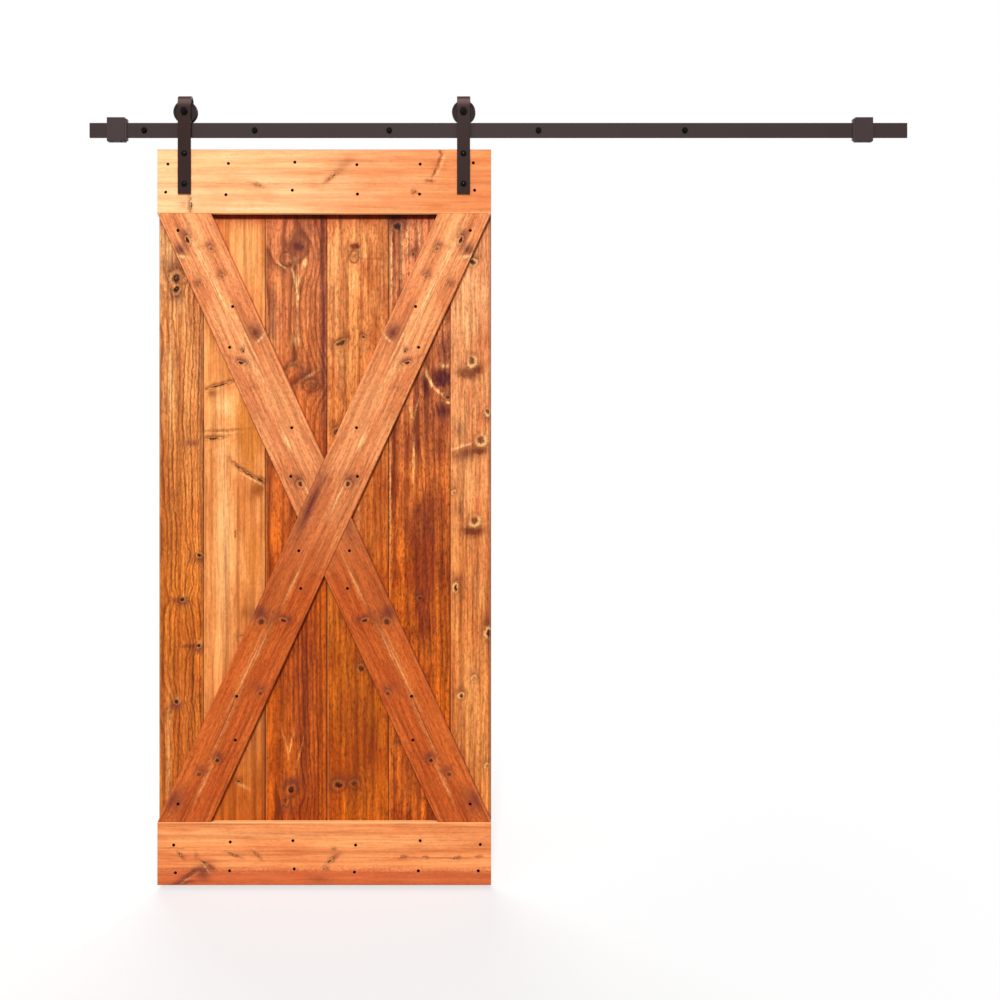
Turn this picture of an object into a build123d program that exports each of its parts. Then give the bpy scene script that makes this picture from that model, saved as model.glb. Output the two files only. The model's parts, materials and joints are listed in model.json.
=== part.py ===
"""Sliding barn door: a plank leaf with an X brace, hung by two strap hangers from a flat wall track.

Millimetres. +X runs along the track to the right as seen from the room, +Y points into the wall
and +Z is up. The origin lies on the wall plane, on the axis of the middle lag bolt.
"""

import math
import os

from build123d import *

# Leaf: six tongue-and-groove planks behind a frame of front boards
leaf_width = 968.0
leaf_height = 2134.0
plank_thickness = 19.0
board_thickness = 19.0
left_plank_width = 129.0
right_plank_width = 119.0
inner_plank_count = 4
header_height = 185.0
bottom_board_height = 182.0
brace_width = 140.0
board_joint_gap = 0.5
board_edge_radius = 1.5

# Plank edges
tongue_length = 7.0
tongue_thickness = 6.0
tongue_clearance = 0.3
plank_gap = 0.8
plank_front_chamfer = 2.0
plank_back_chamfer = 1.0

# Track: a flat bar on stand-off spacers
rail_length = 2378.0
rail_height = 43.0
rail_thickness = 6.0
rail_edge_radius = 0.8
origin_bolt_share = 0.3665
rail_bolt_shares = (0.067, 0.202, origin_bolt_share, 0.549, 0.728)
spacer_length = 38.0
spacer_radius = 10.5
spacer_chamfer = 0.8

# Lag bolts that hold the track to the wall
lag_radius = 4.0
lag_thread_radius = 3.5
lag_thread_length = 26.0
lag_tip_length = 9.0
lag_head_width = 12.7
lag_head_height = 6.0
lag_flange_radius = 8.5
lag_flange_thickness = 1.6
lag_hole_clearance = 0.5

# Where the leaf hangs at rest
leaf_end_distance = 199.5
leaf_gap = 36.5
hanger_inset = 79.5

# Hanger straps: flat bar bent over the wheel
strap_width = 38.0
strap_thickness = 5.0
strap_lap_length = 129.0
strap_crown_clearance = 7.7
strap_edge_radius = 0.6
rear_leg_length = 22.0
hanger_bolt_edge_distance = 13.0
hanger_bolt_spacing = 88.0

# Wheels
wheel_flange_radius = 34.0
wheel_groove_radius = 30.5
wheel_width = 18.0
wheel_side_clearance = 2.5
wheel_edge_chamfer = 1.2
groove_side_clearance = 0.7
groove_flare_width = 0.8
rail_running_gap = 0.2
hub_radius = 20.0
dish_radius = 29.0
dish_depth = 2.0
dish_slope_width = 1.5
bearing_shoulder_radius = 14.0

# Ball bearing in each wheel
bearing_outer_radius = 16.0
bearing_width = 10.0
bearing_pitch_radius = 11.0
ball_radius = 2.97
ball_count = 7
race_clearance = 0.06
inner_ring_radius = 8.8
outer_ring_bore_radius = 13.2
press_clearance = 0.02
cage_thickness = 1.4
cage_width = 7.2
cage_pocket_clearance = 0.12
shield_bore_radius = 9.2
shield_thickness = 0.6
shield_inset = 0.2
circlip_bore_radius = 14.2
circlip_groove_depth = 0.8
circlip_thickness = 1.2
circlip_clearance = 0.05
circlip_gap = 8.0

# Axle bolt, nut and bushes
axle_radius = 6.0
axle_head_width = 18.0
axle_head_height = 7.5
axle_nut_width = 18.5
axle_nut_height = 6.0
axle_end_length = 2.5
axle_end_chamfer = 1.2
axle_hole_clearance = 0.25
axle_bore_clearance = 0.05
bush_radius = 8.5
bush_end_clearance = 0.05

# Bolts that hold the straps to the leaf
door_bolt_radius = 4.0
door_bolt_head_radius = 9.0
door_bolt_head_height = 5.0
door_bolt_hole_clearance = 0.2
door_bolt_end_length = 1.5
door_washer_radius = 11.0
door_washer_thickness = 1.6
door_nut_width = 13.0
door_nut_height = 6.5
thread_clearance = 0.05

# Track end stops
stop_width = 51.0
stop_rise_height = 14.5
stop_drop_height = 11.0
stop_wall_thickness = 8.0
stop_slot_clearance = 0.3
stop_chamfer = 1.0
left_stop_end_distance = 53.0
right_stop_end_distance = 102.0
bumper_thickness = 6.0
bumper_end_inset = 4.0
bumper_side_inset = 2.0
bumper_chamfer = 2.0
bumper_running_gap = 0.5
set_screw_radius = 4.0
set_screw_recess_depth = 0.5
set_screw_socket_width = 4.0
set_screw_socket_depth = 4.0
set_screw_place_share = 0.25

# Countersunk wood screws
screw_length = 32.0
screw_shank_radius = 2.0
screw_head_radius = 4.5
screw_head_land_height = 0.5
screw_head_taper_height = 2.5
screw_head_depth = 0.3
screw_tip_length = 5.0
screw_hole_clearance = 0.1
screw_recess_length = 4.6
screw_recess_width = 1.1
screw_recess_depth = 1.6

# Screw places: shares of a plank's face from its left, and of the board's height from its top
header_screw_shares = (
    ((0.24, 0.23), (0.19, 0.67)),
    ((0.43, 0.22), (0.39, 0.71)),
    ((0.50, 0.20), (0.46, 0.64)),
    ((0.50, 0.24), (0.51, 0.70)),
    ((0.52, 0.23), (0.51, 0.70)),
    ((0.57, 0.21), (0.60, 0.64)),
)
bottom_screw_shares = (
    ((0.37, 0.36), (0.41, 0.80)),
    ((0.46, 0.31), (0.45, 0.77)),
    ((0.47, 0.29), (0.49, 0.74)),
    ((0.48, 0.36), (0.46, 0.79)),
    ((0.52, 0.29), (0.49, 0.77)),
    ((0.74, 0.35), (0.69, 0.77)),
)
# Shares of the leaf's width from its left, and of the panel's height from the header, on the
# brace that falls to the right; the long brace has them mirrored
brace_screw_shares = (
    (0.062, 0.028),
    (0.226, 0.153),
    (0.217, 0.220),
    (0.403, 0.352),
    (0.400, 0.432),
    (0.576, 0.554),
    (0.570, 0.616),
    (0.762, 0.793),
    (0.766, 0.865),
    (0.9375, 0.970),
)

# One overrun serves every cut
overrun = 5.0

# Depths, from the wall plane towards the room
rail_back = -spacer_length
rail_front = rail_back - rail_thickness
rail_middle = (rail_back + rail_front) / 2
strap_gap = wheel_width + 2 * wheel_side_clearance
strap_seat = rail_middle - strap_gap / 2
strap_front = strap_seat - strap_thickness
rear_leg_face = rail_middle + strap_gap / 2
rear_leg_back = rear_leg_face + strap_thickness
board_back = strap_seat + board_thickness
leaf_back = board_back + plank_thickness

# Bore of the bearing and of the bushes, for the axle
bearing_bore_radius = axle_radius + axle_bore_clearance

# Heights
rail_top = rail_height / 2
rail_bottom = -rail_height / 2
axle_z = rail_top + rail_running_gap + wheel_groove_radius
crown_z = axle_z + wheel_flange_radius + strap_crown_clearance
bend_z = crown_z - strap_gap / 2
leaf_top = rail_bottom - leaf_gap
leaf_bottom = leaf_top - leaf_height
strap_bottom = leaf_top - strap_lap_length
header_bottom = leaf_top - header_height
bottom_board_top = leaf_bottom + bottom_board_height
panel_top = header_bottom - board_joint_gap
panel_bottom = bottom_board_top + board_joint_gap
panel_height = panel_top - panel_bottom

# Places along the track
rail_left = -origin_bolt_share * rail_length
rail_right = rail_left + rail_length
bolt_xs = [rail_left + share * rail_length for share in rail_bolt_shares]
leaf_left = rail_left + leaf_end_distance
leaf_right = leaf_left + leaf_width
hanger_xs = {"left": leaf_left + hanger_inset, "right": leaf_right - hanger_inset}
hanger_bolt_zs = [
    leaf_top - hanger_bolt_edge_distance,
    leaf_top - hanger_bolt_edge_distance - hanger_bolt_spacing,
]
inner_plank_width = (leaf_width - left_plank_width - right_plank_width) / inner_plank_count
plank_widths = [left_plank_width] + [inner_plank_width] * inner_plank_count + [right_plank_width]
plank_lefts = [leaf_left + sum(plank_widths[:i]) for i in range(len(plank_widths))]

# Stops: outer end of each block, and which way its bumper faces
stop_outer_xs = {
    "left": rail_left + left_stop_end_distance,
    "right": rail_right - right_stop_end_distance,
}
stop_sides = {"left": 1, "right": -1}

# Travel of the leaf: each wheel runs up to the top edge of its bumper
bumper_top = rail_top + stop_rise_height - bumper_end_inset
wheel_reach = math.sqrt(wheel_flange_radius**2 - (axle_z - bumper_top) ** 2)


def bumper_face(side):
    return stop_outer_xs[side] + stop_sides[side] * (stop_width + bumper_thickness)


travel_left = bumper_face("left") + wheel_reach + bumper_running_gap - hanger_xs["left"]
travel_right = bumper_face("right") - wheel_reach - bumper_running_gap - hanger_xs["right"]


# Shape helpers


def block(x0, x1, y0, y1, z0, z1):
    """Box between two corners."""
    middle = Pos((x0 + x1) / 2, (y0 + y1) / 2, (z0 + z1) / 2)
    return middle * Box(abs(x1 - x0), abs(y1 - y0), abs(z1 - z0))


def rod(radius, x, z, y0, y1):
    """Cylinder along Y."""
    upright = Cylinder(radius, y1 - y0, align=(Align.CENTER, Align.CENTER, Align.MIN))
    return Pos(x, y0, z) * Rot(-90, 0, 0) * upright


def turned(points):
    """Solid of revolution about Y from (radius, y) points."""
    return revolve(Polygon(*points, align=None), Axis.Y)


def tube(outer, inner, y0, y1):
    return turned([(inner, y0), (outer, y0), (outer, y1), (inner, y1)])


def hexagon(flats, y0, y1):
    """Hexagonal bar along Y with chamfered corners."""
    corner = flats / 2 / math.cos(math.pi / 6)
    bevel = corner - flats / 2
    outline = RegularPolygon(flats / 2, 6, major_radius=False)
    bar = Pos(0, y0, 0) * Rot(-90, 0, 0) * extrude(outline, y1 - y0)
    crowned = [
        (0, y0),
        (flats / 2, y0),
        (corner, y0 + bevel / 2),
        (corner, y1 - bevel / 2),
        (flats / 2, y1),
        (0, y1),
    ]
    return bar & turned(crowned)


def slab(points, y_back, thickness):
    """Board from an outline of (x, z) points, its front towards the room."""
    outline = Plane.XZ * Polygon(*points, align=None)
    return Pos(0, y_back, 0) * extrude(outline, thickness, dir=(0, -1, 0))


def eased(board):
    """Rounds the edges of a board's front face."""
    solid = board.solid()
    front = solid.faces().sort_by(Axis.Y)[0]
    return solid.fillet(board_edge_radius, front.outer_wire().edges())


def cut(shape, tools):
    """Takes from a shape the tools that reach its box."""
    box = shape.bounding_box()
    near = [tool for tool in tools if meets(box, tool.bounding_box())]
    return shape - near if near else shape


def meets(a, b):
    overlaps_x = a.min.X < b.max.X and b.min.X < a.max.X
    overlaps_y = a.min.Y < b.max.Y and b.min.Y < a.max.Y
    overlaps_z = a.min.Z < b.max.Z and b.min.Z < a.max.Z
    return overlaps_x and overlaps_y and overlaps_z


# Fasteners of the leaf


def wood_screw():
    """Countersunk screw with a cross recess, its head's face at y = 0."""
    profile = [
        (0, 0),
        (screw_head_radius, 0),
        (screw_head_radius, screw_head_land_height),
        (screw_shank_radius, screw_head_land_height + screw_head_taper_height),
        (screw_shank_radius, screw_length - screw_tip_length),
        (0, screw_length),
    ]
    half_span = screw_recess_length / 2
    half_width = screw_recess_width / 2
    recess = [
        block(-half_span, half_span, -overrun, screw_recess_depth, -half_width, half_width),
        block(-half_width, half_width, -overrun, screw_recess_depth, -half_span, half_span),
    ]
    return turned(profile) - recess


def screw_hole():
    """Room for a wood screw, open to the front."""
    wide = screw_head_radius + screw_hole_clearance
    narrow = screw_shank_radius + screw_hole_clearance
    return turned(
        [
            (0, -overrun),
            (wide, -overrun),
            (wide, screw_head_land_height),
            (narrow, screw_head_land_height + screw_head_taper_height),
            (narrow, screw_length - screw_tip_length),
            (screw_hole_clearance, screw_length),
            (0, screw_length),
        ]
    )


def board_screw_places(shares, top, height):
    """Screw places on a cross board, two to each plank."""
    return [
        (left + face * across, top - height * down)
        for left, face, pair in zip(plank_lefts, plank_widths, shares)
        for across, down in pair
    ]


def brace_screw_places():
    falling = [
        (leaf_left + leaf_width * across, panel_top - panel_height * down)
        for across, down in brace_screw_shares
    ]
    return falling + [(leaf_left + leaf_right - x, z) for x, z in falling]


screw_places = {
    "header_screws": board_screw_places(header_screw_shares, leaf_top, header_height),
    "bottom_board_screws": board_screw_places(
        bottom_screw_shares, bottom_board_top, bottom_board_height
    ),
    "brace_screws": brace_screw_places(),
}
screw_face = strap_seat + screw_head_depth
hanger_bolt_places = [(x, z) for x in hanger_xs.values() for z in hanger_bolt_zs]


def placed(shape, places):
    """Copies of a screw at (x, z) places, their heads sunk in the boards' front."""
    return [Pos(x, screw_face, z) * shape for x, z in places]


def leaf_holes():
    """Everything that is drilled in the leaf."""
    hole = screw_hole()
    screws = [h for places in screw_places.values() for h in placed(hole, places)]
    radius = door_bolt_radius + door_bolt_hole_clearance
    bolts = [
        rod(radius, x, z, strap_seat - overrun, leaf_back + overrun)
        for x, z in hanger_bolt_places
    ]
    return screws + bolts


# Leaf


def plank(index):
    """Upright plank with a tongue on its right edge and a groove in its left one."""
    first = index == 0
    last = index == len(plank_widths) - 1
    left = plank_lefts[index] + (0 if first else plank_gap / 2)
    right = plank_lefts[index] + plank_widths[index] - (0 if last else plank_gap / 2)
    outline = [
        (left + plank_front_chamfer, board_back),
        (right - plank_front_chamfer, board_back),
        (right, board_back + plank_front_chamfer),
        (right, leaf_back - plank_back_chamfer),
        (right - plank_back_chamfer, leaf_back),
        (left + plank_back_chamfer, leaf_back),
        (left, leaf_back - plank_back_chamfer),
        (left, board_back + plank_front_chamfer),
    ]
    body = extrude(Polygon(*outline, align=None), leaf_height)
    middle = (board_back + leaf_back) / 2
    half_tongue = tongue_thickness / 2
    half_groove = half_tongue + tongue_clearance
    groove_end = left - plank_gap + tongue_length + tongue_clearance
    if not last:
        tip = right + tongue_length
        body += block(right, tip, middle - half_tongue, middle + half_tongue, 0, leaf_height)
    if not first:
        body -= block(
            left - overrun,
            groove_end,
            middle - half_groove,
            middle + half_groove,
            -overrun,
            leaf_height + overrun,
        )
    return Pos(0, 0, leaf_bottom) * body


def cross_board(z0, z1):
    corners = [(leaf_left, z0), (leaf_right, z0), (leaf_right, z1), (leaf_left, z1)]
    return eased(slab(corners, board_back, board_thickness))


def brace_foot():
    """Length of a brace's level end cut, for a brace whose edges run out at the panel's corners."""
    b, w, h = brace_width, leaf_width, panel_height
    root = math.sqrt((b * w) ** 2 + (h**2 - b**2) * (h**2 + w**2))
    return b * (root - b * w) / (h**2 - b**2)


def long_brace():
    foot = brace_foot()
    return [
        (leaf_left, panel_bottom),
        (leaf_left + foot, panel_bottom),
        (leaf_right, panel_top),
        (leaf_right - foot, panel_top),
    ]


def half_braces():
    """Upper and lower pieces of the brace that the long one divides."""
    foot = brace_foot()
    whole = slab(
        [
            (leaf_left, panel_top),
            (leaf_left + foot, panel_top),
            (leaf_right, panel_bottom),
            (leaf_right - foot, panel_bottom),
        ],
        board_back,
        board_thickness,
    )
    lean = (leaf_width - foot) / panel_height
    side_gap = board_joint_gap * math.sqrt(1 + lean**2)
    divider = slab(
        [
            (leaf_left - side_gap - overrun * lean, panel_bottom - overrun),
            (leaf_left + foot + side_gap - overrun * lean, panel_bottom - overrun),
            (leaf_right + side_gap + overrun * lean, panel_top + overrun),
            (leaf_right - foot - side_gap + overrun * lean, panel_top + overrun),
        ],
        board_back + overrun,
        board_thickness + 2 * overrun,
    )
    pieces = (whole - divider).solids().sort_by(Axis.Z)
    return eased(pieces[-1]), eased(pieces[0])


def leaf_nodes():
    holes = leaf_holes()
    upper, lower = half_braces()
    boards = {
        "header_board": cross_board(header_bottom, leaf_top),
        "bottom_board": cross_board(leaf_bottom, bottom_board_top),
        "long_brace": eased(slab(long_brace(), board_back, board_thickness)),
        "upper_half_brace": upper,
        "lower_half_brace": lower,
    }
    for index in range(len(plank_widths)):
        boards[f"plank_{index + 1}"] = plank(index)
    nodes = {name: cut(board, holes) for name, board in boards.items()}
    screw = wood_screw()
    for name, places in screw_places.items():
        nodes[name] = placed(screw, places)
    return nodes


# Hangers


def strap(x):
    """Flat bar that rises up the leaf's face, bends over the wheel and ends behind it."""
    half = strap_width / 2
    inner = strap_gap / 2
    outer = inner + strap_thickness
    bend = Pos(0, rail_middle, bend_z) * Rot(0, 90, 0) * (
        Cylinder(outer, strap_width) - Cylinder(inner, strap_width)
    )
    bend -= block(-strap_width, strap_width, rail_middle - 2 * outer, rail_middle + 2 * outer,
                  bend_z - 2 * outer, bend_z)
    front = block(-half, half, strap_front, strap_seat, strap_bottom, bend_z)
    rear = block(-half, half, rear_leg_face, rear_leg_back, axle_z - rear_leg_length, bend_z)
    bar = Pos(x, 0, 0) * (front + bend + rear)
    sides = bar.faces().filter_by(Axis.X)
    bar = fillet([edge for side in sides for edge in side.edges()], strap_edge_radius)
    axle_hole = rod(axle_radius + axle_hole_clearance, x, axle_z,
                    strap_front - overrun, rear_leg_back + overrun)
    bolt_holes = [
        rod(door_bolt_radius + door_bolt_hole_clearance, x, z,
            strap_front - overrun, strap_seat + overrun)
        for z in hanger_bolt_zs
    ]
    return bar - [axle_hole, *bolt_holes]


def dome_arc(rim, rise):
    """Arc of a dome from its rim to its crown."""
    radius = (rim**2 + rise**2) / (2 * rise)
    half_turn = math.degrees(math.asin(min(rim / radius, 1)))
    return CenterArc((0, radius - rise), radius, -90, half_turn)


def door_bolt():
    """Round-headed bolt through strap and leaf, its head's seat at y = 0."""
    length = leaf_back - strap_front + door_washer_thickness + door_nut_height + door_bolt_end_length
    dome = make_face(
        [
            Line((0, 0), (door_bolt_head_radius, 0)),
            dome_arc(door_bolt_head_radius, door_bolt_head_height),
            Line((0, -door_bolt_head_height), (0, 0)),
        ]
    )
    return revolve(dome, Axis.Y) + rod(door_bolt_radius, 0, 0, 0, length)


def door_bolt_nodes():
    bolt = door_bolt()
    washer = tube(door_washer_radius, door_bolt_radius + door_bolt_hole_clearance,
                  0, door_washer_thickness)
    nut = hexagon(door_nut_width, 0, door_nut_height) - rod(
        door_bolt_radius + thread_clearance, 0, 0, -overrun, door_nut_height + overrun
    )
    nut_seat = leaf_back + door_washer_thickness
    return {
        "hanger_bolts": [Pos(x, strap_front, z) * bolt for x, z in hanger_bolt_places],
        "hanger_washers": [Pos(x, leaf_back, z) * washer for x, z in hanger_bolt_places],
        "hanger_nuts": [Pos(x, nut_seat, z) * nut for x, z in hanger_bolt_places],
    }


def axle_bolt():
    """Hexagon bolt from the rear leg through to the nut in front."""
    end = strap_front - axle_nut_height - axle_end_length
    shank = turned(
        [
            (0, end),
            (axle_radius - axle_end_chamfer, end),
            (axle_radius, end + axle_end_chamfer),
            (axle_radius, rear_leg_back),
            (0, rear_leg_back),
        ]
    )
    return shank + hexagon(axle_head_width, rear_leg_back, rear_leg_back + axle_head_height)


def axle_nut():
    nut = hexagon(axle_nut_width, strap_front - axle_nut_height, strap_front)
    return nut - rod(axle_radius + thread_clearance, 0, 0, strap_front - axle_nut_height - overrun,
                     strap_front + overrun)


def axle_bushes():
    """Spacing bushes between the bearing's inner ring and the strap's two legs."""
    bore = bearing_bore_radius
    ring_front = rail_middle - bearing_width / 2
    ring_back = rail_middle + bearing_width / 2
    return [
        tube(bush_radius, bore, strap_seat + bush_end_clearance, ring_front - bush_end_clearance),
        tube(bush_radius, bore, ring_back + bush_end_clearance, rear_leg_face - bush_end_clearance),
    ]


# Wheels and bearings, about the wheel's centre


def wheel():
    """Grooved wheel with a dished face on each side and a seat for its bearing."""
    half = wheel_width / 2
    seat = bearing_width / 2
    groove = rail_thickness / 2 + groove_side_clearance
    flare = groove + groove_flare_width
    clip_groove = bearing_outer_radius + circlip_groove_depth + circlip_clearance
    clip_end = seat + circlip_thickness + 2 * circlip_clearance

    def face(side):
        """Outline of one face from its hub to its rim."""
        return [
            (hub_radius, side * half),
            (hub_radius + dish_slope_width, side * (half - dish_depth)),
            (dish_radius - dish_slope_width, side * (half - dish_depth)),
            (dish_radius, side * half),
            (wheel_flange_radius - wheel_edge_chamfer, side * half),
            (wheel_flange_radius, side * (half - wheel_edge_chamfer)),
            (wheel_flange_radius, side * flare),
            (wheel_groove_radius, side * groove),
        ]

    bore = [
        (bearing_outer_radius, half),
        (bearing_outer_radius, clip_end),
        (clip_groove, clip_end),
        (clip_groove, seat),
        (bearing_outer_radius, seat),
        (bearing_outer_radius, -seat),
        (bearing_shoulder_radius, -seat),
        (bearing_shoulder_radius, -half),
    ]
    return turned(face(-1) + face(1)[::-1] + bore)


def ball_places():
    turn = 2 * math.pi / ball_count
    return [
        Pos(bearing_pitch_radius * math.cos(i * turn), 0, bearing_pitch_radius * math.sin(i * turn))
        for i in range(ball_count)
    ]


def race():
    """Ring of room that the balls run in."""
    return Rot(90, 0, 0) * Torus(bearing_pitch_radius, ball_radius + race_clearance)


def cage():
    """Ring that keeps the balls apart."""
    half = cage_width / 2
    ring = tube(bearing_pitch_radius + cage_thickness / 2, bearing_pitch_radius - cage_thickness / 2,
                -half, half)
    pocket = Sphere(ball_radius + cage_pocket_clearance)
    return ring - [place * pocket for place in ball_places()]


def shields():
    """Thin covers pressed in the outer ring on both sides of the balls."""
    outer = bearing_width / 2 - shield_inset
    inner = outer - shield_thickness
    rim = outer_ring_bore_radius - press_clearance
    return [tube(rim, shield_bore_radius, inner, outer), tube(rim, shield_bore_radius, -outer, -inner)]


def circlip():
    """Spring ring that keeps the bearing in the wheel."""
    start = bearing_width / 2 + circlip_clearance
    rim = bearing_outer_radius + circlip_groove_depth
    ring = tube(rim, circlip_bore_radius, start, start + circlip_thickness)
    half_gap = circlip_gap / 2
    return ring - block(-half_gap, half_gap, start - overrun, start + circlip_thickness + overrun, -rim, 0)


def wheel_nodes(side):
    centre = Pos(hanger_xs[side], rail_middle, axle_z)
    half = bearing_width / 2
    inner_ring = tube(inner_ring_radius, bearing_bore_radius, -half, half) - race()
    outer_ring = tube(bearing_outer_radius - press_clearance, outer_ring_bore_radius, -half, half) - race()
    balls = [place * Sphere(ball_radius) for place in ball_places()]
    pieces = {
        "wheel": [wheel()],
        "bearing_inner_ring": [inner_ring],
        "bearing_outer_ring": [outer_ring],
        "bearing_balls": balls,
        "bearing_cage": [cage()],
        "bearing_shields": shields(),
        "circlip": [circlip()],
    }
    return {f"{side}_{name}": [centre * s for s in shapes] for name, shapes in pieces.items()}


def hanger_nodes(side):
    x = hanger_xs[side]
    on_axle = Pos(x, 0, axle_z)
    return {
        f"{side}_hanger_strap": strap(x),
        f"{side}_axle_bolt": on_axle * axle_bolt(),
        f"{side}_axle_nut": on_axle * axle_nut(),
        f"{side}_axle_bushes": [on_axle * bush for bush in axle_bushes()],
    }


# Track


def track_rail():
    bar = block(rail_left, rail_right, rail_front, rail_back, rail_bottom, rail_top)
    bar = fillet(bar.edges().filter_by(Axis.X), rail_edge_radius)
    radius = lag_radius + lag_hole_clearance
    return bar - [rod(radius, x, 0, rail_front - overrun, rail_back + overrun) for x in bolt_xs]


def rail_spacer():
    bore = lag_radius + lag_hole_clearance
    return turned(
        [
            (bore, rail_back),
            (spacer_radius - spacer_chamfer, rail_back),
            (spacer_radius, rail_back + spacer_chamfer),
            (spacer_radius, -spacer_chamfer),
            (spacer_radius - spacer_chamfer, 0),
            (bore, 0),
        ]
    )


def lag_bolt():
    """Flanged hexagon lag bolt; its threaded length stands out of the wall plane."""
    head = hexagon(lag_head_width, rail_front - lag_head_height, rail_front)
    shank = turned(
        [
            (0, rail_front - lag_flange_thickness),
            (lag_flange_radius, rail_front - lag_flange_thickness),
            (lag_flange_radius, rail_front),
            (lag_radius, rail_front),
            (lag_radius, 0),
            (lag_thread_radius, 0),
            (lag_thread_radius, lag_thread_length),
            (0, lag_thread_length + lag_tip_length),
        ]
    )
    return head + shank


def rail_slot(x0, x1):
    """Room for the rail through a stop."""
    c = stop_slot_clearance
    return block(x0, x1, rail_front - c, rail_back + c, rail_bottom - c, rail_top + c)


def stop_set_screw_xs(side):
    outer = stop_outer_xs[side]
    inner = outer + stop_sides[side] * stop_width
    margin = stop_sides[side] * stop_width * set_screw_place_share
    return [outer + margin, inner - margin]


def stop_block(side):
    """Sleeve round the rail, held by set screws from below."""
    outer = stop_outer_xs[side]
    inner = outer + stop_sides[side] * stop_width
    low = rail_bottom - stop_drop_height
    high = rail_top + stop_rise_height
    front = rail_front - stop_wall_thickness
    back = rail_back + stop_wall_thickness
    body = block(outer, inner, front, back, low, high)
    body = chamfer(body.edges().filter_by(Axis.X), stop_chamfer)
    slot = rail_slot(outer - stop_width, inner + stop_width)
    hole = Cylinder(set_screw_radius + thread_clearance, stop_drop_height + 2 * overrun)
    tapped = [
        Pos(x, rail_middle, rail_bottom - stop_drop_height / 2) * hole for x in stop_set_screw_xs(side)
    ]
    return body - [slot, *tapped]


def stop_bumper(side):
    """Rubber ring on the side of the stop that the wheel meets."""
    inner = stop_outer_xs[side] + stop_sides[side] * stop_width
    face = bumper_face(side)
    wall = stop_wall_thickness - bumper_side_inset
    low = rail_bottom - stop_drop_height + bumper_end_inset
    body = block(inner, face, rail_front - wall, rail_back + wall, low, bumper_top)
    rim = body.faces().sort_by(Axis.X)[-1 if stop_sides[side] > 0 else 0]
    body = chamfer(rim.edges().filter_by(Axis.Z), bumper_chamfer)
    return body - rail_slot(inner - stop_width, face + stop_width)


def stop_set_screw(x):
    """Headless screw with a hexagon socket in its lower end."""
    low = rail_bottom - stop_drop_height + set_screw_recess_depth
    high = rail_bottom - thread_clearance
    middle = Pos(x, rail_middle, (low + high) / 2)
    socket = extrude(
        RegularPolygon(set_screw_socket_width / 2, 6, major_radius=False), set_screw_socket_depth
    )
    return middle * Cylinder(set_screw_radius, high - low) - Pos(x, rail_middle, low) * socket


def track_nodes():
    bolt = lag_bolt()
    spacer = rail_spacer()
    nodes = {"track_rail": track_rail(), "rail_lag_bolts": [Pos(x, 0, 0) * bolt for x in bolt_xs]}
    for number, x in enumerate(bolt_xs, 1):
        nodes[f"rail_spacer_{number}"] = Pos(x, 0, 0) * spacer
    for side in stop_sides:
        nodes[f"{side}_stop_block"] = stop_block(side)
        nodes[f"{side}_stop_bumper"] = stop_bumper(side)
        nodes[f"{side}_stop_set_screws"] = [stop_set_screw(x) for x in stop_set_screw_xs(side)]
    return nodes


def all_nodes():
    nodes = {**track_nodes(), **leaf_nodes(), **door_bolt_nodes()}
    for side in hanger_xs:
        nodes.update(hanger_nodes(side))
        nodes.update(wheel_nodes(side))
    return nodes


def main():
    os.makedirs("parts", exist_ok=True)
    for name, shape in all_nodes().items():
        group = shape if isinstance(shape, list) else [shape]
        solids = [solid for piece in group for solid in piece.solids()]
        whole = solids[0] if len(solids) == 1 else Compound(children=solids)
        export_step(whole, f"parts/{name}.step")


main()
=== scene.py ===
"""Looks of the sliding barn door: stained knotty pine, dark bronze hardware, studio light and camera.

Metres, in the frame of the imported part: +X along the track, +Y into the wall, +Z up.
Marks in the wood are placed by named pixels of the photograph, which looks straight at the door.
"""

import json
import math
from collections import namedtuple

import bpy
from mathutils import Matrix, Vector

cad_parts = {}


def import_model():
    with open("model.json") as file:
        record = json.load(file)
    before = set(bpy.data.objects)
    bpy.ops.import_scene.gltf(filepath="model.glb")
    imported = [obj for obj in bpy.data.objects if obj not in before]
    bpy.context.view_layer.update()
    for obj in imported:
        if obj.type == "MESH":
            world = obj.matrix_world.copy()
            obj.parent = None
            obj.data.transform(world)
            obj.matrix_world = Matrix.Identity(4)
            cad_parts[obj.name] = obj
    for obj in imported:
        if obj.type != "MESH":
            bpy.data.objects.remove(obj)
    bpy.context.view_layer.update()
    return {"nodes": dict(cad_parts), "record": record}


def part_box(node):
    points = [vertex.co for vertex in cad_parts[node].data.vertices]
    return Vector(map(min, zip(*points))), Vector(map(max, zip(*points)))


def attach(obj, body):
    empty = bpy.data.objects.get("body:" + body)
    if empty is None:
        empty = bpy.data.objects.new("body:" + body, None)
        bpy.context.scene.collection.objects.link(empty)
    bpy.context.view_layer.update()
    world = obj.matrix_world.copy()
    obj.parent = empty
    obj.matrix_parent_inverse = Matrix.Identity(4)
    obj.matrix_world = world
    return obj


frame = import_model()
nodes = frame["nodes"]

# Photograph: its scale at the leaf's front, and where the leaf lies in it
pixel = 0.0029
photo_size_px = 1000
leaf_left_px = 157.2
leaf_top_px = 149.4

# Camera, straight in front, at the height that the photograph was taken from, and how far it sees
camera_distance = 3.2
camera_height_px = 440
camera_range = 100.0
sensor_width_mm = 36

# Floor, just below the leaf, and how far from the leaf's middle it goes over into the white background
floor_gap = 0.015
floor_size = 12.0
floor_near = 0.6
floor_far = 2.2
floor_tone = (0.9, 0.9, 0.9, 1)
floor_white_share = 0.55
white = (1, 1, 1, 1)

# Light: strength of the world on surfaces, and of the key, its softness and height in degrees
world_light = 0.22
key_strength = 2.35
key_softness = 7
key_height = 35

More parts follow.
